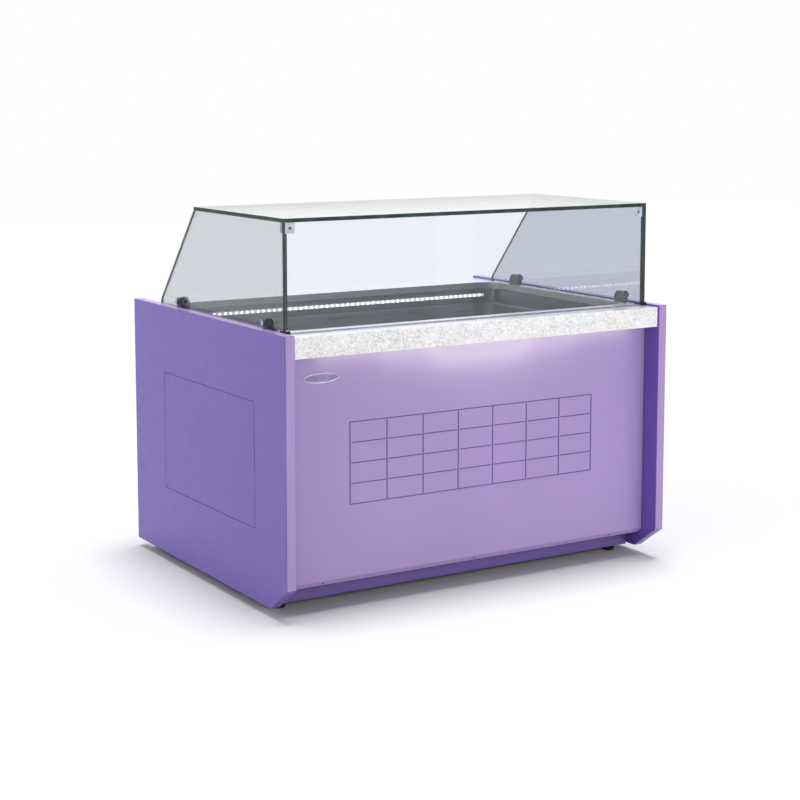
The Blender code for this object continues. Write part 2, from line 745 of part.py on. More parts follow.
# ---------------------------------------------------------------- glass canopy
def make_canopy():
    half = CANOPY_HALF_WIDTH
    front = (CANOPY_FRONT, FRONT_PANE_BACK)
    top_gap = TOP_PANE_BOTTOM - GAP
    box("glass_front", (-half, half), front, (GLASS_FOOT, top_gap), "glass")
    box("glass_top", (-half, half), (CANOPY_FRONT, CANOPY_TOP_BACK), (TOP_PANE_BOTTOM, GLASS_TOP), "glass")
    slope_top = (CANOPY_TOP_BACK, top_gap)
    slope_foot = (CANOPY_BASE_BACK, 0.818)
    turn = math.degrees(math.atan2(slope_top[1] - slope_foot[1], slope_foot[0] - slope_top[0]))
    radius = 0.030
    fillet = radius * math.tan(math.radians(90 - turn) / 2)
    centre = (slope_foot[0] - radius, slope_foot[1] - fillet)
    rear_edge = arc(centre, radius, 0, 90 - turn, 5)
    outline = [
        (FRONT_PANE_BACK + GAP, GLASS_FOOT),
        (CANOPY_BASE_BACK, GLASS_FOOT),
        *[(depth, max(z, GLASS_FOOT + 0.001)) for depth, z in rear_edge],
        slope_top,
        (FRONT_PANE_BACK + GAP, top_gap),
    ]
    outline = [(y_of(depth), z) for depth, z in outline]
    for side, sign in SIDES:
        level = sorted((sign * SIDE_PANE_INNER, sign * half))
        plate(f"glass_{side}", [outline], "yz", level, "glass")


def make_corner_brackets():
    """Small metal angles that hold the front pane to the side panes under the top pane."""
    leg, height, thickness = 0.030, 0.030, 0.0025
    z = (TOP_PANE_BOTTOM - 0.002 - height, TOP_PANE_BOTTOM - 0.002)
    front = FRONT_PANE_BACK + GAP
    for side, sign in SIDES:
        outer = sign * (SIDE_PANE_INNER - GAP)
        along_front = sorted((outer, outer - sign * leg))
        along_side = sorted((outer, outer - sign * thickness))
        bracket = box(f"corner_bracket_{side}", along_front, (front, front + thickness), z, "aluminium")
        fuse(bracket, box(f"bracket_leg_{side}", along_side, (front, front + leg), z))


def make_glass_shoes():
    """Rubber angles round the lower front corners of the glass."""
    shoe_height, shoe_front, shoe_back = 0.010, 0.0610, 0.0880
    for side, sign in SIDES:
        block = sorted((sign * 0.6205, sign * (INNER_X - 0.0007)))
        height = (GLASS_FOOT, GLASS_FOOT + shoe_height)
        shoe = box(f"glass_shoe_{side}", block, (shoe_front, shoe_back), height, "black_rubber")
        inside = sorted((sign * 0.600, sign * (CANOPY_HALF_WIDTH + GAP)))
        beyond = (GLASS_FOOT - 0.01, GLASS_FOOT + 0.02)
        cut(shoe, boxes(f"shoe_corner_{side}", [(inside, (CANOPY_FRONT - GAP, 0.1000), beyond)]))


CLAMP_DEPTHS = (("front", 0.170), ("rear", 0.745))
CLAMP_HALF_WIDTH = 0.026
CLAMP_HEIGHT = 0.037


def make_clamps():
    """Each clamp is a half-round plate inside the pane and a small block with a round screw outside it."""
    for row, depth in CLAMP_DEPTHS:
        for side, sign in SIDES:
            base = GLASS_FOOT
            radius = 0.022
            top = base + CLAMP_HEIGHT
            middle = y_of(depth)
            outline = [
                (middle + CLAMP_HALF_WIDTH, base),
                *arc((middle + CLAMP_HALF_WIDTH - radius, top - radius), radius, 0, 90, 4),
                *arc((middle - CLAMP_HALF_WIDTH + radius, top - radius), radius, 90, 180, 4),
                (middle - CLAMP_HALF_WIDTH, base),
            ]
            inner = sign * (SIDE_PANE_INNER - GAP)
            level = sorted((inner, inner - sign * 0.010))
            plate(f"clamp_plate_{row}_{side}", [outline], "yz", level, "zinc")
            outer = sign * (CANOPY_HALF_WIDTH + GAP)
            block = sorted((outer, outer + sign * 0.009))
            height = (PANEL_TOP + GAP, PANEL_TOP + 0.029)
            clamp = box(f"clamp_block_{row}_{side}", block, (depth - 0.009, depth + 0.009), height, "zinc")
            centre = (outer + sign * 0.012, depth, sum(height) / 2 + 0.002)
            fuse(clamp, cylinder(f"clamp_screw_{row}_{side}", 0.0075, 0.008, centre, "x", None, 20))


# ---------------------------------------------------------------- rear side
DOOR_X = (-0.020, 0.500)
DOOR_Z = (0.092, 0.412)
DOOR_THICKNESS = 0.014
DOOR_FRONT = REAR_BACK + 0.001
OPENING_LAP = 0.012
CONTROL_X = (0.250, 0.520)
CONTROL_Z = (0.600, 0.700)
THERMOSTAT = (0.350, 0.650)
THERMOSTAT_CUTOUT = (0.0712, 0.0292)
SWITCH = (0.470, 0.650)
SWITCH_CUTOUT = (0.0134, 0.0304)
INLET = (-0.420, 0.150)
HINGE_X = DOOR_X[1] + 0.0065
HINGE_DEPTH = DOOR_FRONT + DOOR_THICKNESS / 2
HINGE_HEIGHTS = (("upper", DOOR_Z[1] - 0.070), ("lower", DOOR_Z[0] + 0.030))


def centred(middle, width, height):
    across = (middle[0] - width / 2, middle[0] + width / 2)
    return rectangle(across, (middle[1] - height / 2, middle[1] + height / 2))


def make_rear_panel():
    outer = rectangle((-BODY_X, BODY_X), (0.032, SLAB_BOTTOM - 0.001))
    opening_x = (DOOR_X[0] + OPENING_LAP, DOOR_X[1] - OPENING_LAP)
    opening_z = (DOOR_Z[0] + OPENING_LAP, DOOR_Z[1] - OPENING_LAP)
    cutouts = [
        rectangle(opening_x, opening_z),
        centred(THERMOSTAT, *THERMOSTAT_CUTOUT),
        centred(SWITCH, *SWITCH_CUTOUT),
        centred(INLET, 0.0284, 0.0204),
    ]
    level = (y_of(REAR_FACE), y_of(REAR_BACK))
    plate("rear_panel", [outer, *cutouts], "xz", level, "stainless")


def make_service_door():
    """A louvred pan over the machine opening, on two lift-off hinges."""
    skin = 0.0015
    back = DOOR_FRONT + DOOR_THICKNESS
    door = box("service_door", DOOR_X, (DOOR_FRONT, back), DOOR_Z, "stainless")
    inside_x = (DOOR_X[0] + skin, DOOR_X[1] - skin)
    inside_z = (DOOR_Z[0] + skin, DOOR_Z[1] - skin)
    cut(door, boxes("door_hollow", [(inside_x, (DOOR_FRONT - 0.01, back - skin), inside_z)]))
    louvre_x = (DOOR_X[0] + 0.060, DOOR_X[1] - 0.060)
    louvres, pitch, gap = 9, 0.0275, 0.010
    slots = []
    for index in range(louvres):
        z = DOOR_Z[0] + 0.050 + index * pitch
        slots.append((louvre_x, (back - 0.006, back + 0.01), (z, z + gap)))
    cut(door, boxes("door_louvres", slots))
    for name, z in HINGE_HEIGHTS:
        barrel_at = (HINGE_X, HINGE_DEPTH, z + 0.0305)
        barrel = cylinder(f"door_barrel_{name}", 0.0055, 0.020, barrel_at, "z", None, 20)
        arm_x = (DOOR_X[1] - 0.0012, HINGE_X - 0.0005)
        arm_depth = (HINGE_DEPTH - 0.0025, HINGE_DEPTH + 0.0025)
        fuse(door, barrel, box(f"door_arm_{name}", arm_x, arm_depth, (z + 0.0215, z + 0.0395)))
        bore_at = (HINGE_X, HINGE_DEPTH, z + 0.0281)
        cut(door, cylinder(f"door_bore_{name}", 0.0030, 0.022, bore_at, "z", None, 20))
    profile = [
        (0.0, 0.022),
        (0.009, 0.0215),
        (0.011, 0.019),
        (0.011, 0.014),
        (0.006, 0.010),
        (0.006, 0.0),
        (0.0, 0.0),
    ]
    knob_at = (DOOR_X[0] + 0.028, back + GAP, sum(DOOR_Z) / 2)
    knob = turned("door_knob", profile, knob_at, "y", "black_plastic", 20)
    pivot = bpy.data.objects.new("door_pivot", None)
    pivot.location = (HINGE_X, y_of(HINGE_DEPTH), 0)
    PARTS.objects.link(pivot)
    for leaf in (door, knob):
        leaf.parent = pivot
        leaf.location -= pivot.location


def make_hinge_strip():
    """The fixed half of the lift-off hinges: a strip with two barrels whose pins point up."""
    panel_rear = REAR_BACK + GAP
    strip_x = (HINGE_X + 0.006, HINGE_X + 0.024)
    strip = box("door_hinge_strip", strip_x, (panel_rear, panel_rear + 0.002), DOOR_Z, "stainless")
    for name, z in HINGE_HEIGHTS:
        arm_x = (HINGE_X - 0.001, HINGE_X + 0.010)
        arm = box(f"hinge_arm_{name}", arm_x, (panel_rear, HINGE_DEPTH + 0.002), (z, z + 0.019))
        barrel_at = (HINGE_X, HINGE_DEPTH, z + 0.00975)
        barrel = cylinder(f"hinge_barrel_{name}", 0.0055, 0.0195, barrel_at, "z", None, 20)
        pin_at = (HINGE_X, HINGE_DEPTH, z + 0.0205)
        fuse(strip, arm, barrel, cylinder(f"hinge_pin_{name}", 0.0025, 0.030, pin_at, "z", None, 16))


CONTROL_FACE = REAR_BACK + GAP + 0.0025 + GAP
KEY_FLOOR = 0.0030
KEY_TRAVEL_ROOM = 0.0016
KEY_X = 0.3745
KEYS = (("set", 0.6580), ("up", 0.6500), ("down", 0.6420))


def make_control_plate():
    cutouts = [centred(THERMOSTAT, *THERMOSTAT_CUTOUT), centred(SWITCH, *SWITCH_CUTOUT)]
    outer = rectangle(CONTROL_X, CONTROL_Z)
    level = (y_of(REAR_BACK + GAP), y_of(CONTROL_FACE - GAP))
    plate("control_plate", [outer, *cutouts], "xz", level, "aluminium")


def make_thermostat():
    """A panel controller: a bezel on a long case, a display window and three keys."""
    x, z = THERMOSTAT
    face = CONTROL_FACE
    body = box("thermostat", around(x, 0.0385), (face, face + 0.006), around(z, 0.0175), "black_plastic")
    fuse(body, box("thermostat_case", around(x, 0.0352), (face - 0.056, face + 0.002), around(z, 0.0142)))
    window_x = x - 0.0095
    recesses = [(around(window_x, 0.0240), (face + 0.0045, face + 0.02), around(z, 0.0130))]
    for _, key_z in KEYS:
        recesses.append((around(KEY_X, 0.0052), (face + KEY_FLOOR, face + 0.02), around(key_z, 0.0032)))
    cut(body, boxes("thermostat_recesses", recesses))
    pane_depth = (face + 0.0048, face + 0.0058)
    box("thermostat_window", around(window_x, 0.0235), pane_depth, around(z, 0.0125), "display")
    for name, key_z in KEYS:
        depth = (face + KEY_FLOOR + KEY_TRAVEL_ROOM, face + 0.0072)
        box(f"thermostat_key_{name}", around(KEY_X, 0.0047), depth, around(key_z, 0.0027), "white_plastic")


def make_switch():
    x, z = SWITCH
    face = CONTROL_FACE
    flange = (face, face + 0.0025)
    frame = box("switch_housing", around(x, 0.0085), flange, around(z, 0.0180), "black_plastic")
    fuse(frame, box("switch_case", around(x, 0.0064), (face - 0.022, face + 0.001), around(z, 0.0149)))
    cut(frame, boxes("switch_well", [(around(x, 0.0054), (face - 0.0085, face + 0.01), around(z, 0.0135))]))
    make_rocker(x, z, face)


ROCKER_TILT = 7


def make_rocker(x, z, face):
    """A rocker with a shallow V front, tipped to its lower side."""
    half_height, front, valley, back = 0.0122, 0.0052, 0.0034, -0.0048
    back_half = half_height * 0.8
    outline = [
        (front, -half_height),
        (valley, 0),
        (front, half_height),
        (back, back_half),
        (back, -back_half),
    ]
    rocker = plate("power_rocker", [outline], "yz", (-0.0048, 0.0048), "black_plastic")
    rocker.location = (x, y_of(face), z)
    rocker.rotation_euler = (math.radians(ROCKER_TILT), 0, 0)


def make_power_inlet():
    """A flanged socket for a detachable lead."""
    x, z = INLET
    rear = REAR_BACK + GAP
    inlet = box("power_inlet", around(x, 0.024), (rear, rear + 0.004), around(z, 0.0145), "black_plastic")
    fuse(inlet, box("inlet_body", around(x, 0.0138), (rear - 0.020, rear + 0.001), around(z, 0.0098)))
    cut(inlet, boxes("inlet_recess", [(around(x, 0.0118), (rear - 0.0165, rear + 0.01), around(z, 0.0078))]))


# ---------------------------------------------------------------- condensing unit
UNIT_X = 0.240
CONDENSER_DEPTH = (0.880, 0.930)
CONDENSER_HALF = 0.150
CONDENSER_Z = (BASE_TOP + 0.0015, 0.345)
FAN_Z = 0.205
SHROUD = (0.835, 0.8797)
COMPRESSOR = (0.240, 0.540)


def make_condenser():
    """A block of upright fins between two end plates."""
    half = CONDENSER_HALF
    ends = around(UNIT_X, half)
    core_z = (CONDENSER_Z[0] + 0.004, CONDENSER_Z[1] - 0.004)
    core = box("condenser", ends, CONDENSER_DEPTH, core_z, "aluminium")
    gap_depth = (CONDENSER_DEPTH[0] + 0.006, CONDENSER_DEPTH[1] + 0.01)
    gap_z = (CONDENSER_Z[0] + 0.010, CONDENSER_Z[1] - 0.010)
    cut(core, fin_slots("condenser_gaps", ends, 0.010, 0.004, gap_depth, gap_z))
    for side, sign in SIDES:
        end = sorted((UNIT_X + sign * (half - 0.001), UNIT_X + sign * (half + 0.003)))
        end_depth = (CONDENSER_DEPTH[0], CONDENSER_DEPTH[1] + 0.004)
        fuse(core, box(f"condenser_end_{side}", end, end_depth, CONDENSER_Z))


def make_condenser_fan():
    """A shallow sheet hood with a round mouth in front of the condenser, and the rotor in the mouth."""
    wall = 0.0015
    shroud_z = (CONDENSER_Z[0] + 0.002, CONDENSER_Z[1])
    shroud = box("fan_shroud", around(UNIT_X, CONDENSER_HALF), SHROUD, shroud_z, "galvanised")
    hollow_x = around(UNIT_X, CONDENSER_HALF - wall)
    hollow_z = (shroud_z[0] + wall, shroud_z[1] - wall)
    cut(shroud, boxes("shroud_hollow", [(hollow_x, (SHROUD[0] + wall, SHROUD[1] + 0.01), hollow_z)]))
    cut(shroud, cylinder("shroud_bore", 0.108, 0.02, (UNIT_X, SHROUD[0], FAN_Z), "y", None, 40))
    middle = (UNIT_X, SHROUD[0] + 0.001, FAN_Z)
    fan_rotor("condenser_fan", middle, "y", 0.028, 0.102, 0.022, 5, 30, "aluminium")


def make_fan_motor():
    """The motor in front of the rotor, on a bridge bolted to the base."""
    back = SHROUD[0] - 0.014
    motor = cylinder("fan_motor", 0.036, 0.060, (UNIT_X, back - 0.030, FAN_Z), "y", "black_enamel", 24)
    base = BASE_TOP + GAP
    leg = box("motor_leg", around(UNIT_X, 0.020), (back - 0.034, back - 0.030), (base, FAN_Z - 0.020))
    foot = box("motor_foot", around(UNIT_X, 0.060), (back - 0.060, back - 0.010), (base, base + 0.0027))
    boss_length = SHROUD[0] - 0.010 - GAP - back
    boss_middle = (UNIT_X, back + boss_length / 2 - 0.001, FAN_Z)
    boss = cylinder("motor_boss", 0.012, boss_length + 0.002, boss_middle, "y")
    fuse(motor, leg, foot, boss)


def make_compressor():
    """A welded can on a base plate with four feet."""
    x, depth = COMPRESSOR
    base = BASE_TOP + GAP
    profile = [
        (0.0, 0.200),
        (0.030, 0.198),
        (0.062, 0.187),
        (0.080, 0.168),
        (0.084, 0.145),
        (0.084, 0.118),
        (0.087, 0.117),
        (0.087, 0.106),
        (0.084, 0.105),
        (0.084, 0.060),
        (0.074, 0.038),
        (0.050, 0.026),
        (0.0, 0.024),
    ]
    can = turned("compressor", profile, (x, depth, base), "z", "black_enamel", 28)
    saddle = box("compressor_saddle", around(x, 0.095), around(depth, 0.070), (base + 0.018, base + 0.030))
    relay_z = (base + 0.070, base + 0.135)
    relay = box("compressor_relay", (x - 0.110, x - 0.070), around(depth, 0.035), relay_z)
    fuse(can, saddle, relay)
    for index, (sign_x, sign_y) in enumerate(((1, 1), (-1, 1), (-1, -1), (1, -1))):
        corner = (x + sign_x * 0.080, depth + sign_y * 0.055, base + 0.010)
        fuse(can, cylinder(f"compressor_grommet_{index}", 0.012, 0.020, corner, "z", None, 14))


def bend(points, radius, segments=4):
    """Rounds each inner corner of a run of points with a short arc-like curve."""
    points = [Vector(point) for point in points]
    path = [points[0]]
    for before, corner, after in zip(points, points[1:], points[2:]):
        start = corner + (before - corner).normalized() * radius
        end = corner + (after - corner).normalized() * radius
        for step in range(segments + 1):
            share = step / segments
            path.append(start.lerp(corner, share).lerp(corner.lerp(end, share), share))
    path.append(points[-1])
    return [tuple(point) for point in path]


def make_pipes():
    """Suction, hot gas and liquid lines between the compressor, the condenser and the evaporator."""
    x, depth = COMPRESSOR
    port_x, port_depth = LINE_PORT
    top = WELL_FLOOR + 0.022
    can_side = depth - 0.0845
    suction = [
        (x - 0.02, can_side - 0.0040, 0.150),
        (x - 0.02, can_side - 0.070, 0.150),
        (x - 0.02, can_side - 0.070, 0.420),
        (port_x, can_side - 0.070, 0.420),
        (port_x, port_depth - 0.006, 0.420),
        (port_x, port_depth - 0.006, top),
        (EVAPORATOR_END - 0.002, port_depth - 0.006, top),
    ]
    tube("suction_line", bend(suction, 0.025), 0.0055, "copper")
    gas = [
        (x + 0.0885, depth + 0.01, 0.125),
        (x + 0.130, depth + 0.01, 0.125),
        (x + 0.130, depth + 0.01, 0.318),
        (x + 0.130, 0.790, 0.318),
        (x + 0.1635, 0.790, 0.318),
        (x + 0.1635, 0.905, 0.318),
        (x + 0.1538, 0.905, 0.318),
    ]
    tube("hot_gas_line", bend(gas, 0.008), 0.0035, "copper")
    drier_x, drier_depth, drier_z = 0.020, 0.905, 0.110
    liquid = [
        (drier_x + 0.060, drier_depth, drier_z),
        (-0.120, drier_depth, drier_z),
        (-0.120, drier_depth, 0.395),
        (port_x, drier_depth, 0.395),
        (port_x, port_depth + 0.008, 0.395),
        (port_x, port_depth + 0.008, top),
        (EVAPORATOR_END - 0.002, port_depth + 0.008, top),
    ]
    run = as_mesh(tube("liquid_line", bend(liquid, 0.014), 0.0025, "copper"))
    half, shoulder, neck, can = 0.045, 0.036, 0.0040, 0.0100
    upper = [(0.0, half), (neck, half), (can, shoulder)]
    lower = [(radius, -height) for radius, height in reversed(upper)]
    fuse(run, turned("filter_drier", upper + lower, (drier_x, drier_depth, drier_z), "x", None, 16))


def make_condensate_tray():
    """An open tray under the drain."""
    x, depth, wall = (-0.580, -0.300), (0.170, 0.420), 0.003
    tray = box("condensate_tray", x, depth, (BASE_TOP + GAP, 0.125), "black_plastic")
    inside = ((x[0] + wall, x[1] - wall), (depth[0] + wall, depth[1] - wall), (BASE_TOP + GAP + wall, 0.2))
    cut(tray, boxes("tray_hollow", [inside]))


# ---------------------------------------------------------------- assembly
make_side_panels()
make_front_panel()
make_kick_plate()
make_badge()
make_countertop()
make_well()
make_lamp()
make_false_floor()
make_evaporator()
make_air_fan()
make_drain()
make_base()
make_feet()
make_canopy()
make_corner_brackets()
make_glass_shoes()
make_clamps()
make_rear_panel()
make_service_door()
make_hinge_strip()
make_control_plate()
make_thermostat()
make_switch()
make_power_inlet()
make_condenser()
make_condenser_fan()
make_fan_motor()
make_compressor()
make_pipes()
make_condensate_tray()
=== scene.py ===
"""The look of an ice cream dipping cabinet: finishes, glass, fittings, light and camera round its parts.

Everything is in metres in the parts' own frame, with +Z up and the customer's side facing -Y.
"""

import json
import math

import bmesh
import bpy
from mathutils import Matrix, Vector


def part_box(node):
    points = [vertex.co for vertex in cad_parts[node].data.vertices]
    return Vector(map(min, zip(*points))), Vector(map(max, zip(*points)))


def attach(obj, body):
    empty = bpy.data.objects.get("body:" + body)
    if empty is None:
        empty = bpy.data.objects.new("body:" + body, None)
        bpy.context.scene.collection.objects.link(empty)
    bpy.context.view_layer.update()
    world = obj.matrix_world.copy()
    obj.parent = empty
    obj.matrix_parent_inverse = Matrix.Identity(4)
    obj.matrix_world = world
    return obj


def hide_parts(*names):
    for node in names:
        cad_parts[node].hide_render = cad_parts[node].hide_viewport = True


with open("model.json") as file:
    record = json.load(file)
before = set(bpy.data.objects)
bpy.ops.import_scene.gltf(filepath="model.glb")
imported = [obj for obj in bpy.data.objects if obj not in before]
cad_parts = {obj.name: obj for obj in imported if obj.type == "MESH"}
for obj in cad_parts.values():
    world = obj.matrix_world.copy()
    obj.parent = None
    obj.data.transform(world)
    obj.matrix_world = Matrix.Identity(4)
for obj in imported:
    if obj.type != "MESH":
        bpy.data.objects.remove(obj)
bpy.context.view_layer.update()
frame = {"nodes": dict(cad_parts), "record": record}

BODY_OF = {
    node: body
    for body, members in frame["record"]["behaviour"]["bodies"].items()
    for node in members
}
SIDES = (("left", -1), ("right", 1))


# ---------------------------------------------------------------- procedural materials
def tone(red, green, blue):
    """A linear colour from 0-255 display values."""
    channels = [value / 255 for value in (red, green, blue)]
    return (*[c / 12.92 if c <= 0.04045 else ((c + 0.055) / 1.055) ** 2.4 for c in channels], 1.0)


def shaded(colour, share):
    """The colour at a share of its brightness."""
    return (*[channel * share for channel in colour[:3]], 1.0)


class Look:
    """A material with one Principled shader and the procedural textures that feed it."""

    def __init__(self, name, **sockets):
        self.material = bpy.data.materials.new(name)
        self.material.use_nodes = True
        self.tree = self.material.node_tree
        self.shader = self.tree.nodes["Principled BSDF"]
        self.output = self.tree.nodes["Material Output"]
        self.place = self.node("ShaderNodeTexCoord").outputs["Object"]
        for socket, value in sockets.items():
            self.set(socket.replace("_", " "), value)

    def node(self, kind, **settings):
        made = self.tree.nodes.new(kind)
        for key, value in settings.items():
            setattr(made, key, value)
        return made

    def feed(self, socket, value):
        if isinstance(value, bpy.types.NodeSocket):
            self.tree.links.new(value, socket)
        else:
            socket.default_value = value

    def set(self, socket, value):
        self.feed(self.shader.inputs[socket], value)

    def stretched(self, scale):
        mapping = self.node("ShaderNodeMapping")
        self.feed(mapping.inputs["Vector"], self.place)
        mapping.inputs["Scale"].default_value = scale
        return mapping.outputs["Vector"]

    def noise(self, scale, detail=2.0, distortion=0.0, stretch=None):
        texture = self.node("ShaderNodeTexNoise")
        self.feed(texture.inputs["Vector"], self.stretched(stretch) if stretch else self.place)
        texture.inputs["Scale"].default_value = scale
        texture.inputs["Detail"].default_value = detail
        texture.inputs["Distortion"].default_value = distortion
        return texture.outputs["Fac"]

    def cells(self, scale, output="Distance", feature="F1"):
        texture = self.node("ShaderNodeTexVoronoi", feature=feature)
        self.feed(texture.inputs["Vector"], self.place)
        texture.inputs["Scale"].default_value = scale
        return texture.outputs[output]

    def span(self, value, low, high, to_low=0.0, to_high=1.0):
        """The value's stretch from low to high, drawn out smoothly from to_low to to_high."""
        ranged = self.node("ShaderNodeMapRange", interpolation_type="SMOOTHSTEP")
        for socket, number in zip(ranged.inputs, (value, low, high, to_low, to_high)):
            self.feed(socket, number)
        return ranged.outputs["Result"]

    def maths(self, operation, first, second=0.0):
        node = self.node("ShaderNodeMath", operation=operation)
        self.feed(node.inputs[0], first)
        self.feed(node.inputs[1], second)
        return node.outputs[0]

    def blend(self, share, first, second):
        node = self.node("ShaderNodeMix", data_type="RGBA")
        for index, value in ((0, share), (6, first), (7, second)):
            self.feed(node.inputs[index], value)
        return node.outputs[2]

    def axes(self):
        node = self.node("ShaderNodeSeparateXYZ")
        self.feed(node.inputs[0], self.place)
        return node.outputs

    def between(self, value, low, high, fade):
        """1 between low and high, falling to 0 over fade beyond either end."""
        rise = self.span(value, low - fade, low)
        fall = self.span(value, high, high + fade, 1.0, 0.0)
        return self.maths("MULTIPLY", rise, fall)

    def all_of(self, *masks):
        total = masks[0]
        for mask in masks[1:]:
            total = self.maths("MULTIPLY", total, mask)
        return total

    def bump(self, height, distance, strength):
        node = self.node("ShaderNodeBump")
        self.feed(node.inputs["Height"], height)
        node.inputs["Distance"].default_value = distance
        node.inputs["Strength"].default_value = strength
        self.set("Normal", node.outputs["Normal"])


def lacquer(name, colour, roughness, coat, groove=None, groove_shade=None):
    """Sprayed satin paint: slow drift in colour, orange peel, faint scuffs near the floor, and painted
    shade on the groove floors.
    """
    look = Look(name, Coat_Weight=coat, Coat_Roughness=0.14, Specular_IOR_Level=0.4)
    drift = look.span(look.noise(1.7, 3, 0.4), 0.3, 0.7)
    body = look.blend(drift, shaded(colour, 0.97), shaded(colour, 1.03))
    scuffs = look.span(look.noise(38, 4, 0.8, (1, 1, 6)), 0.66, 0.74)
    axes = look.axes()
    low_down = look.span(axes["Z"], 0.06, 0.20, 1.0, 0.0)
    worn = look.maths("MULTIPLY", look.maths("MULTIPLY", scuffs, low_down), 0.22)
    body = look.blend(worn, body, tone(196, 186, 214))
    if groove:
        # Painted shade: the groove floors take a darker tone, for the shade inside the grooves.
        body = look.blend(look.maths("MULTIPLY", groove(look, axes), 0.95), body, groove_shade)
    look.set("Base Color", body)
    haze = look.span(look.noise(24, 3), 0.35, 0.7, roughness - 0.02, roughness + 0.03)
    look.set("Roughness", look.maths("ADD", haze, look.maths("MULTIPLY", worn, 0.6)))
    look.bump(look.noise(180, 2), 0.000012, 0.6)
    return look.material


def front_grooves(look, axes):
    """The floors of the grooves in the front panel's grid, which take painted shade."""
    return look.all_of(
        look.between(axes["Y"], -0.4477, -0.4450, 0.0003),
        look.between(axes["X"], -0.436, 0.436, 0.001),
        look.between(axes["Z"], 0.298, 0.546, 0.001),
    )


def side_grooves(look, axes):
    """The floors of the rectangular groove in each side panel, which take painted shade."""
    return look.all_of(
        look.between(look.maths("ABSOLUTE", axes["X"]), 0.6675, 0.6694, 0.0004),
        look.between(axes["Y"], -0.3275, 0.2905, 0.001),
        look.between(axes["Z"], 0.234, 0.606, 0.001),
    )


def granite():
    """Pale polished stone: cool and beige clouds, winding broken grey veins and dark flecks."""
    look = Look("granite_white", Coat_Weight=0.45, Coat_Roughness=0.14)
    clouds = look.span(look.noise(170, 4, 0.6), 0.34, 0.64)
    grain = look.blend(clouds, tone(207, 206, 208), tone(231, 230, 232))
    warm = look.span(look.noise(52, 3, 1.0), 0.52, 0.70, 0.0, 0.35)
    body = look.blend(warm, grain, tone(212, 208, 200))
    for scale, strength, colour in ((46, 0.6, tone(132, 131, 133)), (84, 0.4, tone(150, 147, 142))):
        winding = look.maths("ABSOLUTE", look.maths("SUBTRACT", look.noise(scale, 3, 2.4), 0.5))
        line = look.span(winding, 0.006, 0.034, 1.0, 0.0)
        broken = look.span(look.noise(scale * 0.7, 2), 0.44, 0.60, 0.0, strength)
        body = look.blend(look.maths("MULTIPLY", line, broken), body, colour)
    flecks = look.span(look.noise(330, 2), 0.66, 0.73, 0.0, 0.75)
    body = look.blend(flecks, body, tone(96, 94, 95))
    look.set("Base Color", body)
    look.set("Roughness", look.span(look.noise(210, 2), 0.3, 0.7, 0.12, 0.22))
    look.bump(look.noise(260, 3), 0.00003, 0.3)
    return look.material


def brushed(name, colour, along, roughness=0.32, strength=0.5):
    """Metal with fine parallel scratches along one axis, cloudy patches and a few stray marks."""
    look = Look(name, Metallic=1.0)
    fine = tuple(5.0 if axis == along else 620.0 for axis in "xyz")
    coarse = tuple(1.6 if axis == along else 130.0 for axis in "xyz")
    grain = look.noise(1.0, 3, 0.0, fine)
    bands = look.noise(1.0, 2, 0.0, coarse)
    cloud = look.noise(6.0, 3, 0.5)
    mixed = look.blend(look.span(bands, 0.3, 0.7), shaded(colour, 0.90), shaded(colour, 1.08))
    mixed = look.blend(look.span(cloud, 0.3, 0.75, 0.0, 0.35), mixed, shaded(colour, 0.86))
    look.set("Base Color", look.blend(look.span(grain, 0.35, 0.65, 0.0, 0.3), mixed, shaded(colour, 1.18)))
    smear = look.span(cloud, 0.3, 0.7, roughness - 0.04, roughness + 0.07)
    look.set("Roughness", look.maths("ADD", smear, look.span(grain, 0.3, 0.7, -0.03, 0.05)))
    look.bump(grain, 0.00003, strength)
    return look.material


def cast(name, colour, metallic, roughness, scale=520.0, distance=0.00012):
    """Cast or moulded surface: a fine grainy skin with duller hollows."""
    look = Look(name, Metallic=metallic)
    skin = look.noise(scale, 3)
    cloud = look.noise(scale / 14, 3, 0.6)
    body = look.blend(look.span(cloud, 0.3, 0.7), shaded(colour, 0.82), shaded(colour, 1.16))
    look.set("Base Color", look.blend(look.span(skin, 0.55, 0.8, 0.0, 0.25), body, shaded(colour, 1.6)))
    look.set("Roughness", look.span(skin, 0.3, 0.7, roughness - 0.05, roughness + 0.08))
    look.bump(skin, distance, 0.6)
    return look.material


def rubber():
    """Black rubber with a little pale dust."""
    look = Look("rubber_black", Specular_IOR_Level=0.35)
    dust = look.span(look.noise(70, 4, 0.5), 0.45, 0.8, 0.0, 0.35)
    look.set("Base Color", look.blend(dust, tone(24, 24, 25), tone(70, 68, 68)))
    look.set("Roughness", look.span(look.noise(160, 2), 0.3, 0.7, 0.62, 0.85))
    look.bump(look.noise(900, 2), 0.00010, 0.6)
    return look.material


def galvanised():
    """Zinc spangle: flat crystals of slightly different greys."""
    look = Look("galvanised_steel", Metallic=0.9)
    crystal = look.cells(85, "Color")
    level = look.node("ShaderNodeRGBToBW")
    look.feed(level.inputs[0], crystal)
    spangle = look.span(level.outputs[0], 0.25, 0.75)
    look.set("Base Color", look.blend(spangle, tone(150, 155, 158), tone(196, 200, 202)))
    look.set("Roughness", look.span(level.outputs[0], 0.2, 0.8, 0.34, 0.56))
    look.bump(look.noise(300, 3), 0.00005, 0.5)
    return look.material


def foil():
    """The embossed aluminium facing of the foam casing."""
    look = Look("embossed_foil", Metallic=0.85)
    pebble = look.cells(260, "Distance", "SMOOTH_F1")
    tarnish = look.span(look.noise(9, 3, 0.5), 0.35, 0.7)
    look.set("Base Color", look.blend(tarnish, tone(178, 181, 184), tone(214, 216, 218)))
    look.set("Roughness", look.span(pebble, 0.1, 0.7, 0.36, 0.50))
    look.bump(pebble, 0.00035, 0.7)
    return look.material


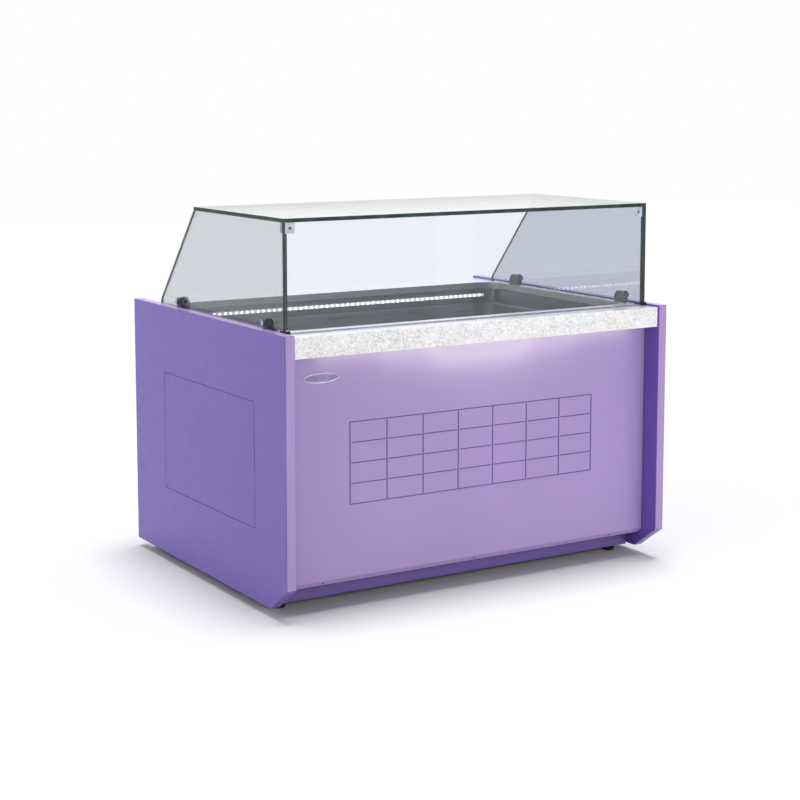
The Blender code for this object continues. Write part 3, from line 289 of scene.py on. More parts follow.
def copper():
    """Drawn copper tube, browned in patches."""
    look = Look("copper_tube", Metallic=1.0)
    oxide = look.span(look.noise(42, 4, 0.8), 0.42, 0.72, 0.0, 0.75)
    look.set("Base Color", look.blend(oxide, tone(216, 142, 104), tone(142, 84, 62)))
    look.set("Roughness", look.span(look.noise(90, 3), 0.3, 0.7, 0.24, 0.44))
    look.bump(look.noise(500, 2), 0.00004, 0.5)
    return look.material


def enamel():
    """Black stoved enamel with a film of dust."""
    look = Look("black_enamel", Coat_Weight=0.6, Coat_Roughness=0.14)
    dust = look.span(look.noise(30, 4, 0.3), 0.5, 0.85, 0.0, 0.3)
    look.set("Base Color", look.blend(dust, tone(20, 20, 22), tone(84, 82, 80)))
    look.set("Roughness", look.span(look.noise(60, 2), 0.3, 0.7, 0.30, 0.46))
    look.bump(look.noise(380, 2), 0.00008, 0.6)
    return look.material


def plastic(name, colour, roughness=0.42):
    """Moulded plastic with a fine spark-eroded texture."""
    look = Look(name)
    texture = look.noise(1500, 2)
    handled = look.span(look.noise(34, 3, 0.4), 0.4, 0.75)
    look.set("Base Color", look.blend(handled, colour, shaded(colour, 1.25)))
    look.set("Roughness", look.span(handled, 0.0, 1.0, roughness - 0.08, roughness + 0.06))
    look.bump(texture, 0.00005, 0.7)
    return look.material


def glowing(name, colour, light, strength):
    """A lit plastic face, very slightly uneven."""
    look = Look(name, Roughness=0.35, Emission_Strength=strength)
    grain = look.span(look.noise(240, 2), 0.3, 0.7, 0.0, 0.12)
    look.set("Base Color", look.blend(grain, colour, shaded(colour, 0.85)))
    glow = look.blend(look.span(look.noise(90, 2), 0.3, 0.7, 0.0, 0.15), light, shaded(light, 0.8))
    look.set("Emission Color", glow)
    return look.material


def display():
    """A dark red filter window under a glossy skin."""
    look = Look("display_window", Coat_Weight=1.0, Coat_Roughness=0.03)
    drift = look.span(look.noise(50, 2), 0.3, 0.7)
    look.set("Base Color", look.blend(drift, tone(24, 6, 8), tone(38, 12, 14)))
    look.set("Roughness", look.span(look.noise(300, 2), 0.3, 0.7, 0.12, 0.2))
    return look.material


def sealant():
    """Cloudy grey silicone."""
    look = Look("sealant_grey", Specular_IOR_Level=0.4)
    clouds = look.span(look.noise(60, 3), 0.3, 0.7)
    look.set("Base Color", look.blend(clouds, tone(150, 154, 160), tone(188, 190, 194)))
    look.set("Roughness", look.span(look.noise(120, 2), 0.3, 0.7, 0.28, 0.42))
    look.bump(look.noise(180, 2), 0.0001, 0.5)
    return look.material


def clear_glass(name, tint, haze=0.03):
    """A pane's face: a slight tint over what lies behind, and a mirror share that grows at a slant."""
    head_on, steepness = 0.042, 5.0
    look = Look(name)
    see = look.node("ShaderNodeBsdfTransparent")
    smears = look.span(look.noise(7, 4, 1.2, (1.0, 1.0, 2.2)), 0.35, 0.75, 0.0, haze)
    look.feed(see.inputs["Color"], look.blend(smears, tint, shaded(tint, 0.86)))
    gloss = look.node("ShaderNodeBsdfGlossy")
    gloss.inputs["Color"].default_value = (1.0, 1.0, 1.0, 1.0)
    look.feed(gloss.inputs["Roughness"], look.span(smears, 0.0, haze, 0.0, 0.05))
    facing = look.node("ShaderNodeLayerWeight")
    facing.inputs["Blend"].default_value = 0.5
    slant = look.maths("POWER", facing.outputs["Facing"], steepness)
    share = look.maths("ADD", head_on, look.maths("MULTIPLY", slant, 1.0 - head_on))
    mix = look.node("ShaderNodeMixShader")
    look.feed(mix.inputs[0], share)
    look.feed(mix.inputs[1], see.outputs[0])
    look.feed(mix.inputs[2], gloss.outputs[0])
    look.feed(look.output.inputs["Surface"], mix.outputs[0])
    look.tree.nodes.remove(look.shader)
    return look.material


def glass_edge():
    """The ground edge of a float glass pane: deep bottle green with slightly lighter streaks."""
    look = Look("glass_edge_green", Specular_IOR_Level=0.1)
    streak = look.span(look.noise(26, 3, 0.4), 0.35, 0.7)
    look.set("Base Color", look.blend(streak, tone(40, 56, 51), tone(58, 76, 70)))
    look.set("Roughness", look.span(look.noise(300, 2), 0.3, 0.7, 0.10, 0.22))
    return look.material


# Painted shade: the side panels' board purple is a darker copy of the front panel's purple, for the side
# faces, which get less light.
BOARD_SHADED_PURPLE, BOARD_GROOVE_SHADE = tone(103, 80, 167), tone(56, 38, 100)
SHEET_PURPLE, SHEET_GROOVE_SHADE = tone(156, 132, 185), tone(88, 60, 132)
LOOKS = {
    "painted_board": lacquer("purple_lacquer_side", BOARD_SHADED_PURPLE, 0.36, 0.1, side_grooves, BOARD_GROOVE_SHADE),
    "painted_sheet": lacquer("purple_lacquer_front", SHEET_PURPLE, 0.34, 0.15, front_grooves, SHEET_GROOVE_SHADE),
    # Painted shade: the kick plate takes a darker copy of the front panel's purple, for the shade under the
    # panel's lip.
    "painted_sheet_dark": lacquer("purple_lacquer_kick_shaded", tone(104, 84, 152), 0.42, 0.05),
    "badge_plate": cast("badge_silver", tone(206, 206, 212), 0.9, 0.20, 900, 0.00002),
    "granite": granite(),
    "stainless": brushed("stainless_brushed", tone(172, 173, 174), "x"),
    "foam_casing": foil(),
    "aluminium": brushed("aluminium_satin", tone(216, 217, 220), "x", 0.34, 0.3),
    "fin_aluminium": brushed("aluminium_fin", tone(190, 192, 194), "z", 0.42, 0.4),
    "zinc": cast("zinc_cast", tone(88, 90, 100), 0.55, 0.42),
    "light_diffuser": glowing("lamp_diffuser", tone(190, 194, 200), (0.86, 0.93, 1.0, 1.0), 0.60),
    "black_rubber": rubber(),
    "black_plastic": plastic("plastic_black", tone(32, 32, 34)),
    "key_plastic": plastic("plastic_white", tone(216, 216, 214), 0.36),
    "display": display(),
    "black_enamel": enamel(),
    "copper": copper(),
    "galvanised": galvanised(),
}
LAMP_CHIP = glowing("lamp_chip", tone(255, 250, 235), (0.95, 0.98, 1.0, 1.0), 6.0)
DIGIT_RED = glowing("digit_red", tone(120, 10, 8), (1.0, 0.08, 0.04, 1.0), 5.0)
BADGE_FIELD = cast("badge_field", tone(132, 118, 166), 0.1, 0.30, 700, 0.00002)
STEEL_DARK = cast("screw_dark", tone(40, 38, 46), 0.6, 0.40, 900, 0.00003)
PIN_BLACK = cast("pin_black", tone(22, 22, 24), 0.2, 0.5, 900, 0.00003)
STEEL_BRIGHT = cast("screw_bright", tone(184, 186, 190), 0.95, 0.26, 900, 0.00003)
BRACKET = cast("bracket_satin", tone(220, 222, 224), 0.3, 0.40, 700, 0.00003)
DARK_SEAL = cast("corner_seal", tone(26, 36, 34), 0.0, 0.35, 300, 0.00005)
# Painted light and shade in the well: the rim strip is rougher and lighter for the reflection it catches,
# and the recess under it is darker for its shade.
STEEL_RIM_LIT = brushed("stainless_rim_lit", tone(178, 178, 178), "x", 0.42)
STEEL_RECESS_SHADED = brushed("stainless_recess_shaded", tone(140, 142, 148), "x", 0.36)
SEALANT = sealant()
EDGE = glass_edge()
# Painted shade and light: one glass is tinted darker in the side panes, for the greyer look they have, and
# lighter in the top pane.
FACES = {
    "front": clear_glass("glass_face_front", (0.900, 0.910, 0.960, 1.0)),
    "top": clear_glass("glass_face_top", (0.965, 0.988, 1.0, 1.0)),
    "left": clear_glass("glass_face_side", (0.760, 0.774, 0.798, 1.0)),
}
FACES["right"] = FACES["left"]


# ---------------------------------------------------------------- making pieces
def shape(name, bm, look, smooth=35):
    """A mesh object in the scene from a finished bmesh, smooth except at corners over the given angle."""
    bmesh.ops.recalc_face_normals(bm, faces=bm.faces)
    mesh = bpy.data.meshes.new(name)
    bm.to_mesh(mesh)
    bm.free()
    mesh.shade_smooth()
    mesh.set_sharp_from_angle(angle=math.radians(smooth))
    mesh.materials.append(look)
    obj = bpy.data.objects.new(name, mesh)
    bpy.context.scene.collection.objects.link(obj)
    return obj


def ease(obj, width, segments):
    """Rounds the edges, as on any real sheet, board or casting."""
    sharpest_smooth = 30
    bevel = obj.modifiers.new("eased_edges", "BEVEL")
    bevel.width = width
    bevel.segments = segments
    bevel.limit_method = "ANGLE"
    bevel.angle_limit = math.radians(sharpest_smooth)
    flat = obj.modifiers.new("flat_faces", "WEIGHTED_NORMAL")
    flat.weight = 100
    flat.keep_sharp = True


def settle(obj, body, slot, *nodes):
    """Hangs a piece on its body and hides the nodes it stands for. The slot is not used."""
    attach(obj, body)
    if nodes:
        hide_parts(*nodes)
    return obj


def node_bmesh(node, whole=True):
    """The node's own shape, with its facets joined into whole faces where that is wanted."""
    same_point, same_plane = 0.00001, math.radians(0.4)
    bm = bmesh.new()
    bm.from_mesh(frame["nodes"][node].data)
    bmesh.ops.remove_doubles(bm, verts=bm.verts, dist=same_point)
    if whole:
        bmesh.ops.dissolve_limit(bm, angle_limit=same_plane, verts=bm.verts, edges=bm.edges)
    return bm


def slot_of(node):
    """The slot of a node: the name of its own material."""
    return frame["nodes"][node].data.materials[0].name.split(".")[0]


def refine(node, width, segments=2, look=None, smooth=35, whole=True):
    """The node's shape with eased edges and its finish."""
    obj = shape(f"{node}_piece", node_bmesh(node, whole), look or LOOKS[slot_of(node)], smooth)
    ease(obj, width, segments)
    return settle(obj, BODY_OF[node], slot_of(node), node)


def aimed(point, direction):
    """The place of something that stands on a point along a direction."""
    turn = Vector(direction).to_track_quat("Z", "Y").to_matrix().to_4x4()
    return Matrix.Translation(point) @ turn


def add_block(bm, low, high):
    """A box between two corners."""
    for vert in bmesh.ops.create_cube(bm, size=1.0)["verts"]:
        vert.co = [a + (c + 0.5) * (b - a) for a, b, c in zip(low, high, vert.co)]


def join_rings(bm, rings):
    """Faces between neighbouring closed rings; a ring of one point is a tip."""
    for first, second in zip(rings, rings[1:]):
        count = max(len(first), len(second))
        for i in range(count):
            j = (i + 1) % count
            near = [first[i % len(first)], first[j % len(first)]]
            far = [second[j % len(second)], second[i % len(second)]]
            corners = list(dict.fromkeys(near + far))
            if len(corners) > 2:
                bm.faces.new(corners)


def around(place, reach, angle, height=0.0):
    """The point at a distance and an angle about the place's own Z."""
    return place @ Vector((reach * math.cos(angle), reach * math.sin(angle), height))


def add_turned(bm, profile, place, steps):
    """A turned body along the place's own Z: (radius, height) or (radius, height, form) from end to end."""
    rings = []
    for radius, height, *form in profile:
        ring = []
        for index in range(steps if radius > 1e-7 else 1):
            angle = 2 * math.pi * index / steps
            reach = radius
            if form and form[0] == "hexagon":
                reach *= math.cos(math.pi / 6) / math.cos((angle % (math.pi / 3)) - math.pi / 6)
            elif form and form[0] == "cross":
                reach *= 0.30 + 0.70 * abs(math.cos(2 * angle)) ** 6
            ring.append(bm.verts.new(around(place, reach, angle, height)))
        rings.append(ring)
    join_rings(bm, rings)


def add_oval(bm, profile, place, half_width, half_height, steps=72):
    """Stacked ovals in the place's XY plane: (inset, height) from the rim inwards, with a flat middle."""
    rings = []
    for inset, height in profile:
        ring = []
        for index in range(steps):
            angle = 2 * math.pi * index / steps
            across = (half_width - inset) * math.cos(angle)
            up = (half_height - inset) * math.sin(angle)
            ring.append(bm.verts.new(place @ Vector((across, up, height))))
        rings.append(ring)
    join_rings(bm, rings)
    return rings


def add_tube(bm, points, radius, steps=12):
    """A round tube through the points, closed at both ends."""
    points = [Vector(point) for point in points]
    rings = []
    for index, point in enumerate(points):
        ahead = points[min(index + 1, len(points) - 1)] - points[max(index - 1, 0)]
        place = aimed(point, ahead)
        ring = []
        for step in range(steps):
            angle = 2 * math.pi * step / steps
            ring.append(bm.verts.new(around(place, radius, angle)))
        rings.append(ring)
    join_rings(bm, rings)
    bm.faces.new(rings[0])
    bm.faces.new(rings[-1])


def add_screw(bm, point, direction, radius):
    """A low domed screw head with a cross recess."""
    profile = [
        (0.0, -0.0002),
        (radius, -0.0002),
        (radius, radius * 0.22),
        (radius * 0.90, radius * 0.42),
        (radius * 0.66, radius * 0.54),
        (radius * 0.60, radius * 0.55, "cross"),
        (radius * 0.50, radius * 0.20, "cross"),
        (0.0, radius * 0.16),
    ]
    add_turned(bm, profile, aimed(point, direction), 32)


def screws(name, places, direction, radius, look, body, slot):
    """One piece with a screw head at each place."""
    bm = bmesh.new()
    for point in places:
        add_screw(bm, point, direction, radius)
    settle(shape(name, bm, look, 40), body, slot)


# ---------------------------------------------------------------- body
def make_side_panel(side):
    """A painted board whose front- and top-facing faces take the front panel's lighter purple while its
    other faces keep a darker copy: painted light and shade on one paint.
    """
    node = f"side_panel_{side}"
    panel = refine(node, 0.0016, 3)
    panel.data.materials.append(LOOKS["painted_sheet"])
    for face in panel.data.polygons:
        # Painted light: the faces turned to the front and up take the lighter purple.
        if face.normal.y < -0.9 or face.normal.z > 0.9:
            face.material_index = 1


for side, _ in SIDES:
    make_side_panel(side)


def make_front_panel():
    """The folded front sheet: rounded folds, and grooves left as crisp as a cutter leaves them."""
    bm = node_bmesh("front_panel", whole=False)
    fold_radius, sharpest_smooth = 0.0005, 4
    low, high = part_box("front_panel")
    shortest = 0.9 * (high.x - low.x)
    folds = [
        edge
        for edge in bm.edges
        if edge.calc_length() > shortest and edge.calc_face_angle(0.0) > math.radians(30)
    ]
    bmesh.ops.bevel(bm, geom=folds, offset=fold_radius, segments=3, affect="EDGES", profile=0.5)
    panel = shape("front_panel_piece", bm, LOOKS["painted_sheet"], sharpest_smooth)
    settle(panel, "cabinet", "painted_sheet", "front_panel")


make_front_panel()
refine("kick_plate", 0.0003, 2)
refine("countertop", 0.0016, 3)
refine("tank_insulation", 0.0010, 2)
refine("base_plate", 0.0004, 1)
for row in ("front", "rear"):
    refine(f"base_rail_{row}", 0.0006, 2)


def make_lip_screws():
    """Dark screws in the slanting lip under the front panel."""
    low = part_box("front_panel")[0]
    lip_back, lip_drop, spacing = 0.012, 0.015, 0.516
    middle = (low.y + lip_back / 2, low.z + lip_drop / 2)
    places = [(x, *middle) for x in (-spacing, 0.0, spacing)]
    screws("lip_screws", places, (0, -lip_drop, -lip_back), 0.0029, STEEL_DARK, "cabinet", "painted_sheet")


make_lip_screws()


def make_badge():
    """A blank oval badge: a silver rim and an inner line round a purple-grey field."""
    valley_from, valley_to = 0.55, 0.73
    low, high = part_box("badge")
    middle = (low + high) / 2
    half_width, half_height = (high.x - low.x) / 2, (high.z - low.z) / 2
    thickness = high.y - low.y
    place = Matrix.Translation((middle.x, high.y, middle.z)) @ Matrix.Rotation(math.pi / 2, 4, "X")
    rim = [
        (0.0005, 0.0),
        (0.0, thickness * 0.2),
        (0.0, thickness * 0.6),
        (0.0007, thickness * 0.95),
        (0.0016, thickness),
        (0.0024, thickness * 0.90),
        (0.0028, thickness * 0.62),
        (0.0040, thickness * 0.62),
        (0.0043, thickness * 0.78),
        (0.0049, thickness * 0.78),
        (0.0052, thickness * 0.62),
        (0.0070, thickness * 0.66),
        (0.0100, thickness * 0.70),
    ]
    bm = bmesh.new()
    rings = add_oval(bm, rim, place, half_width, half_height)
    bm.faces.new(rings[0])
    bm.faces.new(rings[-1])
    badge = shape("badge_piece", bm, LOOKS["badge_plate"], 30)
    badge.data.materials.append(BADGE_FIELD)
    for face in badge.data.polygons:
        raised = (high.y - face.center.y) / thickness
        if valley_from < raised < valley_to:
            face.material_index = 1
    settle(badge, "cabinet", "badge_plate", "badge")


make_badge()


# ---------------------------------------------------------------- well
def make_well_liner():
    """The steel well: a rougher rim strip, a little lighter as a painted reflection, above the lamp's
    recess, darker than the walls as painted shade under the rim.
    """
    liner = refine("well_liner", 0.0005, 2)
    recess_floor, rim_foot = 0.735, 0.7825
    liner.data.materials.append(STEEL_RIM_LIT)
    liner.data.materials.append(STEEL_RECESS_SHADED)
    for face in liner.data.polygons:
        if face.center.z > rim_foot:
            face.material_index = 1
        elif face.center.z > recess_floor:
            face.material_index = 2


make_well_liner()
refine("well_floor", 0.0003, 1)
refine("lamp_profile", 0.0004, 2)
refine("lamp_strip", 0.0005, 2)
refine("drain_outlet", 0.0003, 2)
refine("evaporator", 0.0003, 1)
refine("air_fan_frame", 0.0005, 2)
refine("air_fan_rotor", 0.0005, 2)


def make_lamp_chips():
    """A row of small lens domes along the light strip."""
    pitch, ends = 0.0197, 0.012
    dome = [
        (0.0, -0.0004),
        (0.0036, -0.0004),
        (0.0036, 0.0003),
        (0.0030, 0.0009),
        (0.0016, 0.0013),
        (0.0, 0.0014),
    ]
    low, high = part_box("lamp_strip")
    middle = (low.z + high.z) / 2
    count = int((high.x - low.x - ends) / pitch)
    bm = bmesh.new()
    for index in range(count):
        x = (index - (count - 1) / 2) * pitch
        add_turned(bm, dome, aimed((x, low.y, middle), (0, -1, 0)), 16)
    settle(shape("lamp_chips", bm, LAMP_CHIP, 50), "cabinet", "light_diffuser")


make_lamp_chips()


# ---------------------------------------------------------------- glass canopy
def make_pane(side, flat_axis):
    """A pane with clear faces and green ground edges, whose foot stands clear in its channel."""
    above_stone, arris = 0.0015, 0.0009
    node = f"glass_{side}"
    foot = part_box("countertop")[1].z + above_stone
    bm = node_bmesh(node)
    bm.faces.ensure_lookup_table()
    for face in bm.faces:
        ground = abs(face.normal[flat_axis]) < 0.9 and face.calc_center_median().z > foot
        face.material_index = 1 if ground else 0
    arrises = [edge for edge in bm.edges if max(vert.co.z for vert in edge.verts) > foot]
    bmesh.ops.bevel(bm, geom=arrises, offset=arris, segments=2, affect="EDGES", profile=0.5, material=1)
    pane = shape(f"{node}_piece", bm, FACES[side], 20)
    pane.data.materials.append(EDGE)
    settle(pane, "cabinet", "glass", node)


for side, flat_axis in (("front", 1), ("top", 2), ("left", 0), ("right", 0)):
    make_pane(side, flat_axis)


def make_clamp_cap(row, side, sign):
    """The round screw in a clamp's outer block, with a raised rim and a hexagon socket."""
    cap = [
        (0.0, -0.0003),
        (0.0073, -0.0003),
        (0.0073, 0.0007),
        (0.0066, 0.0013),
        (0.0052, 0.0013),
        (0.0046, 0.0005),
        (0.0030, 0.0004, "hexagon"),
        (0.0029, -0.0001, "hexagon"),
        (0.0, -0.0001),
    ]
    above_middle = 0.002
    low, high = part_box(f"clamp_block_{row}_{side}")
    tip = high.x if sign > 0 else low.x
    middle = (tip, (low.y + high.y) / 2, (low.z + high.z) / 2 + above_middle)
    bm = bmesh.new()
    add_turned(bm, cap, aimed(middle, (sign, 0, 0)), 36)
    settle(shape(f"clamp_cap_{row}_{side}", bm, STEEL_BRIGHT, 30), "cabinet", "zinc")


def make_bracket_pins(side, sign):
    """A flush black pin in each outer face of a corner bracket."""
    pin = [(0.0, -0.0004), (0.0042, -0.0004), (0.0042, 0.0001), (0.0036, 0.00022), (0.0, 0.00022)]
    low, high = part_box(f"corner_bracket_{side}")
    middle = (low + high) / 2
    outer = high.x if sign > 0 else low.x
    bm = bmesh.new()
    add_turned(bm, pin, aimed((middle.x, low.y, middle.z), (0, -1, 0)), 24)
    add_turned(bm, pin, aimed((outer, middle.y, middle.z), (sign, 0, 0)), 24)
    settle(shape(f"bracket_pins_{side}", bm, PIN_BLACK, 40), "cabinet", "aluminium")


for side, sign in SIDES:
    refine(f"corner_bracket_{side}", 0.0006, 2, BRACKET)
    refine(f"glass_shoe_{side}", 0.0010, 3)
    for row in ("front", "rear"):
        refine(f"clamp_plate_{row}_{side}", 0.0014, 3)
        refine(f"clamp_block_{row}_{side}", 0.0009, 3)
        make_clamp_cap(row, side, sign)
    make_bracket_pins(side, sign)


def make_corner_joints():
    """A dark, slightly hollow bead in each upright corner between the front and side panes."""
    radius, hollow, clear, steps = 0.0052, 0.20, 0.0004, 5
    front_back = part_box("glass_front")[1].y
    inner = abs(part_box("glass_left")[1].x)
    for side, sign in SIDES:
        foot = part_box(f"glass_shoe_{side}")[1].z + clear
        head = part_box(f"corner_bracket_{side}")[0].z - clear
        rings = []
        bm = bmesh.new()
        for z in (foot, head):
            ring = [bm.verts.new((sign * inner, front_back, z))]
            for step in range(steps + 1):
                turn = math.pi / 2 * step / steps
                reach = radius * (1.0 - hollow + hollow * abs(math.cos(2 * turn)))
                across, along = reach * math.cos(turn), reach * math.sin(turn)
                ring.append(bm.verts.new((sign * (inner - across), front_back + along, z)))
            rings.append(ring)
        join_rings(bm, rings)
        bm.faces.new(rings[0])
        bm.faces.new(rings[1])
        settle(shape(f"corner_joint_{side}", bm, DARK_SEAL, 50), "cabinet", "black_rubber")


make_corner_joints()


def make_seals():
    """A thin bead of sealant along the inner foot of the front pane and between the side clamps."""
    bead = [(0.0, 0.0), (0.0028, 0.0), (0.0015, 0.0008), (0.0007, 0.0018), (0.0, 0.0030)]
    off_glass, off_stone, off_corner = 0.0003, 0.0004, 0.004
    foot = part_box("countertop")[1].z + off_stone
    front_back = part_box("glass_front")[1].y + off_glass
    inner = abs(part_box("glass_left")[1].x)
    half = inner - off_corner
    runs = [(Vector((-half, front_back, foot)), Vector((half, front_back, foot)), Vector((0, 1, 0)))]
    for start, end in ((-0.410, -0.374), (-0.316, 0.201), (0.259, 0.360)):
        for _, sign in SIDES:
            x = sign * (inner - off_glass)
            runs.append((Vector((x, start, foot)), Vector((x, end, foot)), Vector((-sign, 0, 0))))
    bm = bmesh.new()
    for start, end, inwards in runs:
        rings = [
            [bm.verts.new(point + inwards * out + Vector((0, 0, up))) for out, up in bead]
            for point in (start, end)
        ]
        join_rings(bm, rings)
        bm.faces.new(rings[0])
        bm.faces.new(rings[-1])
    settle(shape("glass_foot_seal", bm, SEALANT, 50), "cabinet", "black_rubber")


make_seals()


# ---------------------------------------------------------------- rear side
refine("rear_panel", 0.0004, 1, brushed("stainless_rear", tone(184, 186, 189), "z", 0.34, 0.25))
refine("service_door", 0.0006, 2)
refine("door_knob", 0.0008, 3)
refine("door_hinge_strip", 0.0003, 1)
refine("control_plate", 0.0006, 2)
refine("thermostat", 0.0004, 2, whole=False)
refine("thermostat_window", 0.0002, 2)
for key in ("set", "up", "down"):
    refine(f"thermostat_key_{key}", 0.0004, 2)
refine("switch_housing", 0.0005, 2)
refine("power_rocker", 0.0004, 2)
refine("power_inlet", 0.0006, 2)


def make_rear_screws():
    """The screws of the rear panel, the control plate, the door's hinge strip and the power inlet."""
    rearwards = (0, 1, 0)
    panel_inset, panel_top, plate_inset = 0.014, 0.755, 0.012
    strip_proud, strip_inset, inlet_reach = 0.0023, 0.009, 0.0188
    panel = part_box("rear_panel")[1]
    edge = panel.x - panel_inset
    places = [(x, panel.y, z) for x in (-edge, edge) for z in (0.070, 0.300, 0.530, panel_top)]
    places += [(x, panel.y, panel_top) for x in (-0.312, 0.0, 0.312)]
    screws("rear_panel_screws", places, rearwards, 0.0048, STEEL_BRIGHT, "cabinet", "stainless")
    low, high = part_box("control_plate")
    columns = (low.x + plate_inset, high.x - plate_inset)
    places = [(x, high.y, z) for x in columns for z in (low.z + plate_inset, high.z - plate_inset)]
    screws("control_plate_screws", places, rearwards, 0.0032, STEEL_BRIGHT, "cabinet", "aluminium")
    low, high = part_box("door_hinge_strip")
    heights = (low.z + plate_inset, (low.z + high.z) / 2, high.z - plate_inset)
    places = [(high.x - strip_inset, panel.y + strip_proud, z) for z in heights]
    screws("hinge_screws", places, rearwards, 0.0034, STEEL_BRIGHT, "cabinet", "stainless")
    low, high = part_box("power_inlet")
    middle = (low + high) / 2
    places = [(middle.x + sign * inlet_reach, high.y, middle.z) for _, sign in SIDES]
    screws("inlet_screws", places, rearwards, 0.0026, STEEL_BRIGHT, "cabinet", "black_plastic")


make_rear_screws()


def make_inlet_pins():
    """Three flat pins in the power inlet's socket, the middle one higher."""
    half_width, half_height, root, tip = 0.0010, 0.0022, 0.0030, 0.0150
    low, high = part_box("power_inlet")
    middle = (low + high) / 2
    bm = bmesh.new()
    for across, up in ((-0.0065, -0.0022), (0.0, 0.0022), (0.0065, -0.0022)):
        x, z = middle.x + across, middle.z + up
        near = (x - half_width, low.y + root, z - half_height)
        far = (x + half_width, low.y + tip, z + half_height)
        add_block(bm, near, far)
    pins = shape("inlet_pins", bm, STEEL_BRIGHT, 30)
    ease(pins, 0.0004, 2)
    settle(pins, "cabinet", "black_plastic")


make_inlet_pins()


def make_louvre_hoods():
    """A pressed hood over each slot of the service door, shallower towards its ends."""
    count, pitch, first, steps = 9, 0.0275, 0.060, 6
    start, end, stations = 0.040, 0.440, (0.0, 0.004, 0.009, 0.015)
    top, drop, shallow, deepening = 0.0030, 0.0085, 0.0006, 0.0066
    sheet_in, sheet_down, sunk, below_knob = 0.0008, 0.0007, 0.0002, 0.0005
    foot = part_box("service_door")[0].z
    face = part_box("door_knob")[0].y - below_knob
    xs = [start + way for way in stations] + [end - way for way in reversed(stations)]
    bm = bmesh.new()
    for index in range(count):
        level = foot + first + index * pitch
        rings = []
        for x in xs:
            inset = min(x - start, end - x) / stations[-1]
            reach = shallow + deepening * math.sin(math.pi / 2 * inset)
            outer = []
            for step in range(steps + 1):
                angle = math.pi / 2 * step / steps
                outer.append((reach * math.sin(angle), top - drop * (1 - math.cos(angle))))
            inner = [(max(out - sheet_in, -sunk), up - sheet_down) for out, up in reversed(outer)]
            rings.append([bm.verts.new((x, face + out, level + up)) for out, up in outer + inner])
        join_rings(bm, rings)
        bm.faces.new(rings[0])
        bm.faces.new(rings[-1])
    settle(shape("service_door_hoods", bm, LOOKS["stainless"], 40), "service_door", "stainless")


make_louvre_hoods()

# The segments in use, of the usual seven: where each has its middle, and whether it lies level.
SEGMENTS = {
    "b": ((0.5, 0.5), False),
    "c": ((0.5, -0.5), False),
    "f": ((-0.5, 0.5), False),
    "g": ((0.0, 0.0), True),
}


def make_digits():
    """A lit reading of two figures and a minus sign in the controller's window."""
    size, sunk, proud = 0.0072, 0.0001, 0.0002
    long_half, short_half = size * 0.42, 0.0008
    low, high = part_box("thermostat_window")
    middle = (low + high) / 2
    bm = bmesh.new()
    for glyph, offset in (("g", 0.0125), ("bc", 0.0030), ("bcfg", -0.0085)):
        for segment in glyph:
            (across, up), level = SEGMENTS[segment]
            x, z = middle.x + offset - across * size, middle.z + up * size
            half_x, half_z = (long_half, short_half) if level else (short_half, long_half)
            near = (x - half_x, high.y - sunk, z - half_z)
            far = (x + half_x, high.y + proud, z + half_z)
            add_block(bm, near, far)
    digits = shape("thermostat_digits", bm, DIGIT_RED, 30)
    ease(digits, 0.0002, 1)
    settle(digits, "cabinet", "display")


make_digits()


# ---------------------------------------------------------------- machine room
def make_condenser_fins():
    """Fine upright fins between two end plates."""
    pitch, fin, plate, ends = 0.0034, 0.0005, 0.0015, 0.006
    back, edge = 0.002, 0.003
    low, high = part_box("condenser")
    count = int((high.x - low.x - ends) / pitch)
    bm = bmesh.new()
    for index in range(count):
        x = (low.x + high.x) / 2 + (index - (count - 1) / 2) * pitch
        near = (x - fin / 2, low.y + back, low.z + edge)
        far = (x + fin / 2, high.y - back, high.z - edge)
        add_block(bm, near, far)
    for x in (low.x, high.x - plate):
        add_block(bm, (x, low.y, low.z), (x + plate, high.y, high.z))
    settle(shape("condenser_fins", bm, LOOKS["fin_aluminium"], 30), "cabinet", "fin_aluminium", "condenser")


def make_condenser_tubes():
    """Two rows of level tubes through the fins, which loop back at alternate ends."""
    count, pitch, lowest, row_inset = 6, 0.044, 0.030, 0.014
    past_plate, tube, bend_tube, bend_start, bend_reach, steps = 0.002, 0.0046, 0.0045, 0.001, 0.010, 8
    low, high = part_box("condenser")
    levels = [low.z + lowest + pitch * index for index in range(count)]
    bm = bmesh.new()
    for row in (low.y + row_inset, high.y - row_inset):
        for index, z in enumerate(levels):
            add_tube(bm, [(low.x - past_plate, row, z), (high.x + past_plate, row, z)], tube)
            if z == levels[-1]:
                break
            end, out = (high.x, 1) if index % 2 == 0 else (low.x, -1)
            bend = []
            for step in range(steps + 1):
                angle = math.pi * step / steps
                x = end + out * (bend_start + bend_reach * math.sin(angle))
                bend.append((x, row, z + pitch / 2 * (1 - math.cos(angle))))
            add_tube(bm, bend, bend_tube)
    settle(shape("condenser_tubes", bm, LOOKS["copper"], 50), "cabinet", "copper")


make_condenser_fins()
make_condenser_tubes()
refine("fan_shroud", 0.0006, 2)
refine("condenser_fan", 0.0005, 2)
refine("fan_motor", 0.0010, 2)
refine("compressor", 0.0016, 3, smooth=50)
for line in ("suction_line", "hot_gas_line", "liquid_line"):
    refine(line, 0.0004, 1, smooth=60)
refine("condensate_tray", 0.0006, 2)


# ---------------------------------------------------------------- feet
for row in ("front", "rear"):
    for side, _ in SIDES:
        refine(f"foot_{row}_{side}", 0.0007, 2, smooth=45)


